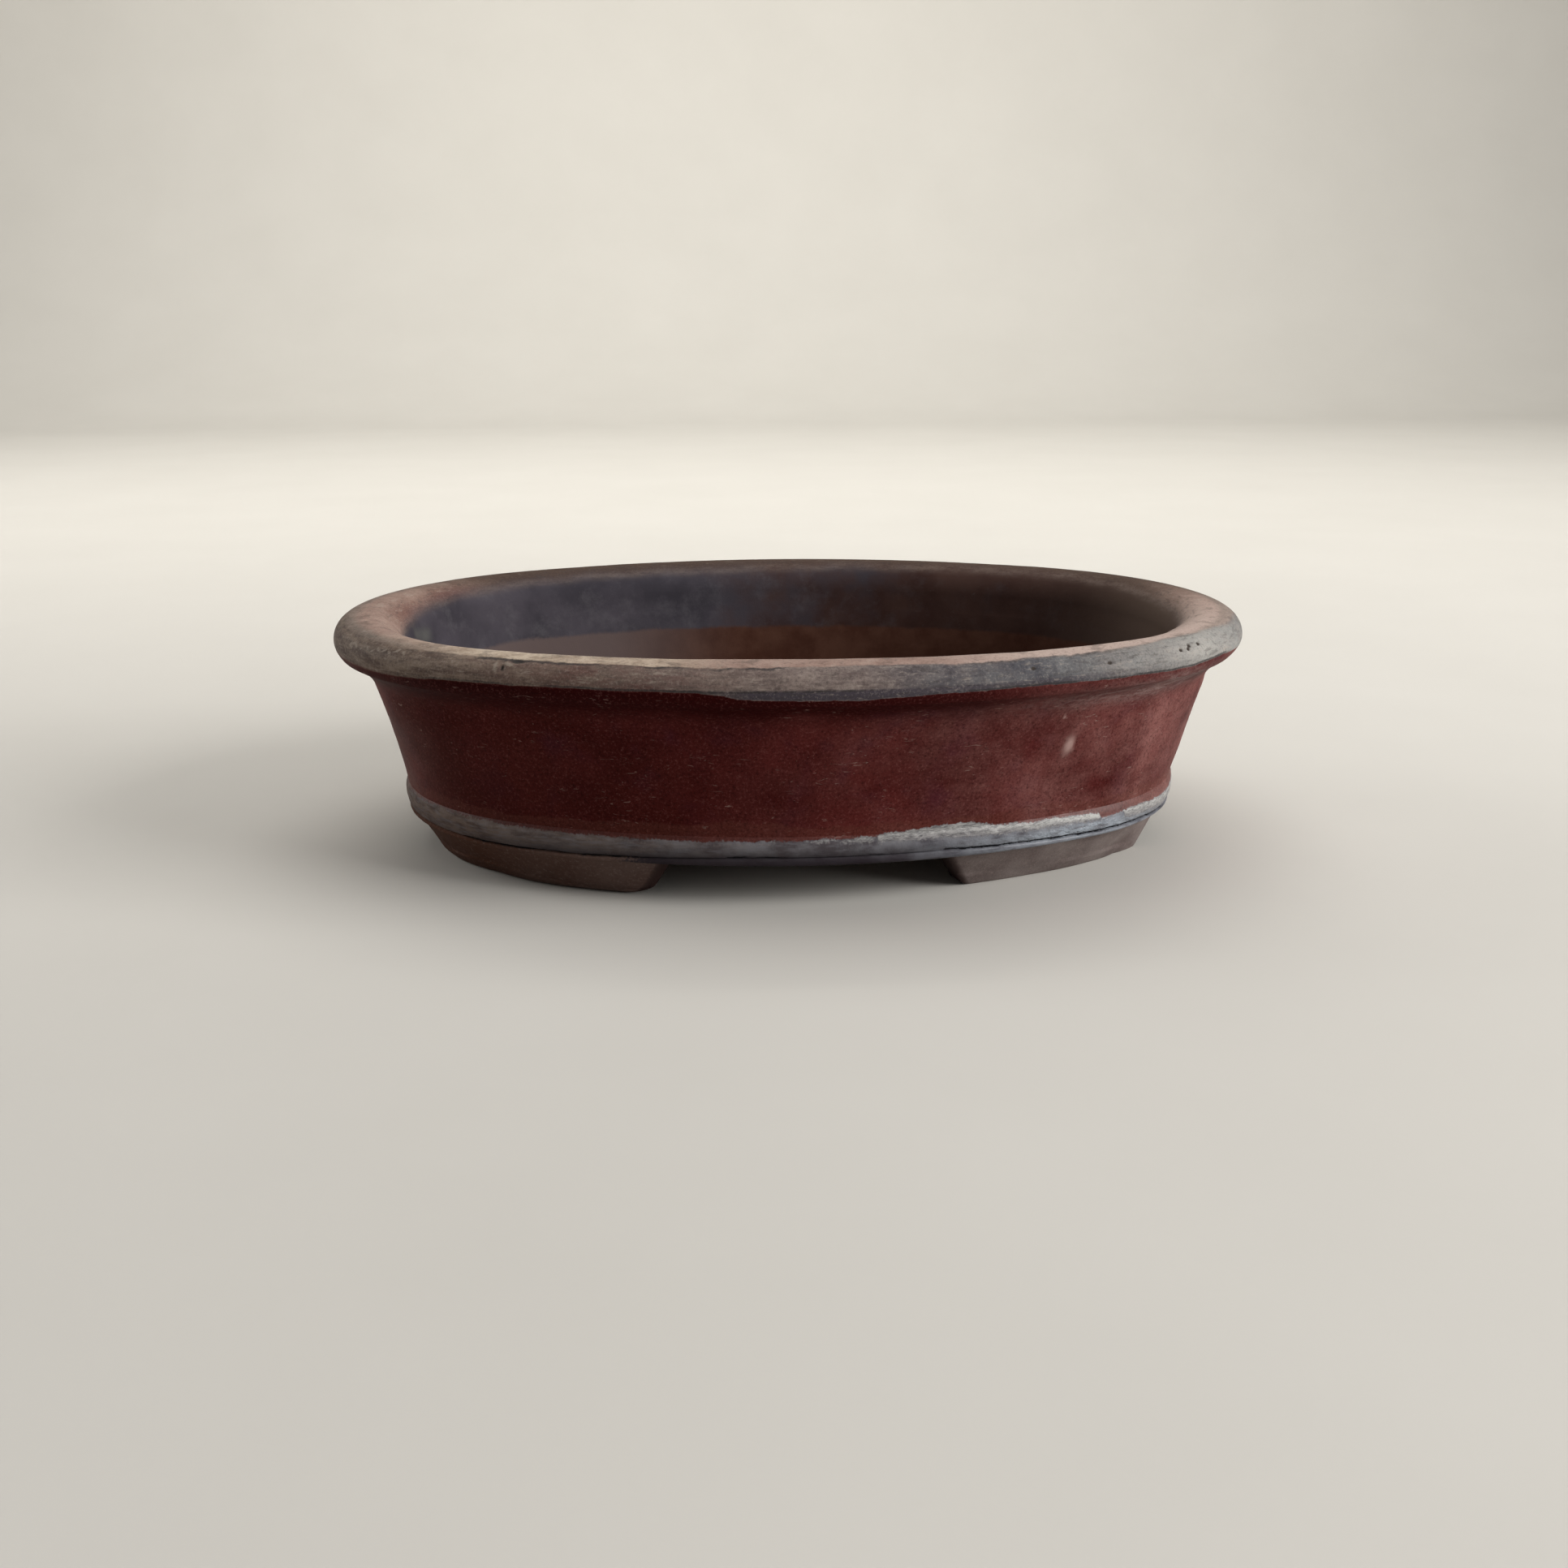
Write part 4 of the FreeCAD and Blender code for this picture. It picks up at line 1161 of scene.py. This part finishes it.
def build_floor():
    """A pale floor that sweeps up into a wall behind, all in one sheet."""
    sweep, back, high, wide = 0.35, 0.95, 1.6, 2.2
    turns = np.radians(np.linspace(0, 90, 25))
    outline = [(-1.6, 0.0)]
    outline += [(back + sweep * math.sin(turn), sweep * (1 - math.cos(turn))) for turn in turns]
    outline += [(back + sweep, high)]
    points = [(side * wide, y, z) for y, z in outline for side in (-1, 1)]
    faces = [(2 * i, 2 * i + 1, 2 * i + 3, 2 * i + 2) for i in range(len(outline) - 1)]
    mesh = bpy.data.meshes.new("studio_floor")
    mesh.from_pydata(points, [], faces)
    mesh.shade_smooth()
    sheet = Sheet("studio_floor")
    colour = sheet.mix(sheet.clouds(60, 4), (0.50, 0.485, 0.455), (0.54, 0.525, 0.495))
    mesh.materials.append(sheet.finish(colour, 0.8, sheet.bump(sheet.clouds(1.0), 0.01), 0.2))
    floor = place_object("studio_floor", mesh)


def build_lamp(name, place, aim, size, power, colour):
    data = bpy.data.lights.new(name, "AREA")
    data.size = size
    data.energy = power
    data.color = colour
    lamp = place_object(name, data)
    way = Vector(aim) - Vector(place)
    turn = way.to_track_quat("-Z", "Y").to_matrix().to_4x4()
    lamp.matrix_world = Matrix.Translation(place) @ turn


def build_lights():
    """Soft daylight from the right, with a dim room all round."""
    middle = (0.0, 0.0, 0.02)
    build_lamp("window_right", (0.75, -0.35, 0.38), middle, 0.5, 10.5, (1.0, 0.985, 0.96))
    build_lamp("window_left", (-0.8, 0.3, 0.38), middle, 0.4, 2.5, (1.0, 0.985, 0.96))
    build_lamp("room_above", (0.0, 0.15, 0.9), middle, 0.9, 3.6, (1.0, 0.98, 0.95))
    build_lamp("backdrop_light", (0.0, 0.45, 0.9), (0.0, 1.3, 0.35), 0.8, 11.0, (1.0, 0.97, 0.9))
    world = bpy.data.worlds.new("room")
    world.use_nodes = True
    room = world.node_tree.nodes["Background"]
    room.inputs["Color"].default_value = (0.93, 0.91, 0.88, 1.0)
    room.inputs["Strength"].default_value = 0.25
    bpy.context.scene.world = world
    bpy.context.scene.view_settings.view_transform = "Standard"


# ---- putting it together
red = red_glaze()
pieces = {
    "wall": (build_wall(red), "red_glaze"),
    "rim": (build_rim(rim_glaze()), "rim_glaze"),
    "belt": (build_belt(belt_glaze()), "belt_glaze"),
    "floor_slab": (build_floor_slab(floor_clay()), "bare_clay"),
}
clay = foot_clay()
for name, foot in FEET.items():
    pieces[name] = (build_foot(name, foot, clay), "bare_clay")
for node, (piece, slot) in pieces.items():
    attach(piece, "root")
    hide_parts(node)

build_camera()
build_floor()
build_lights()
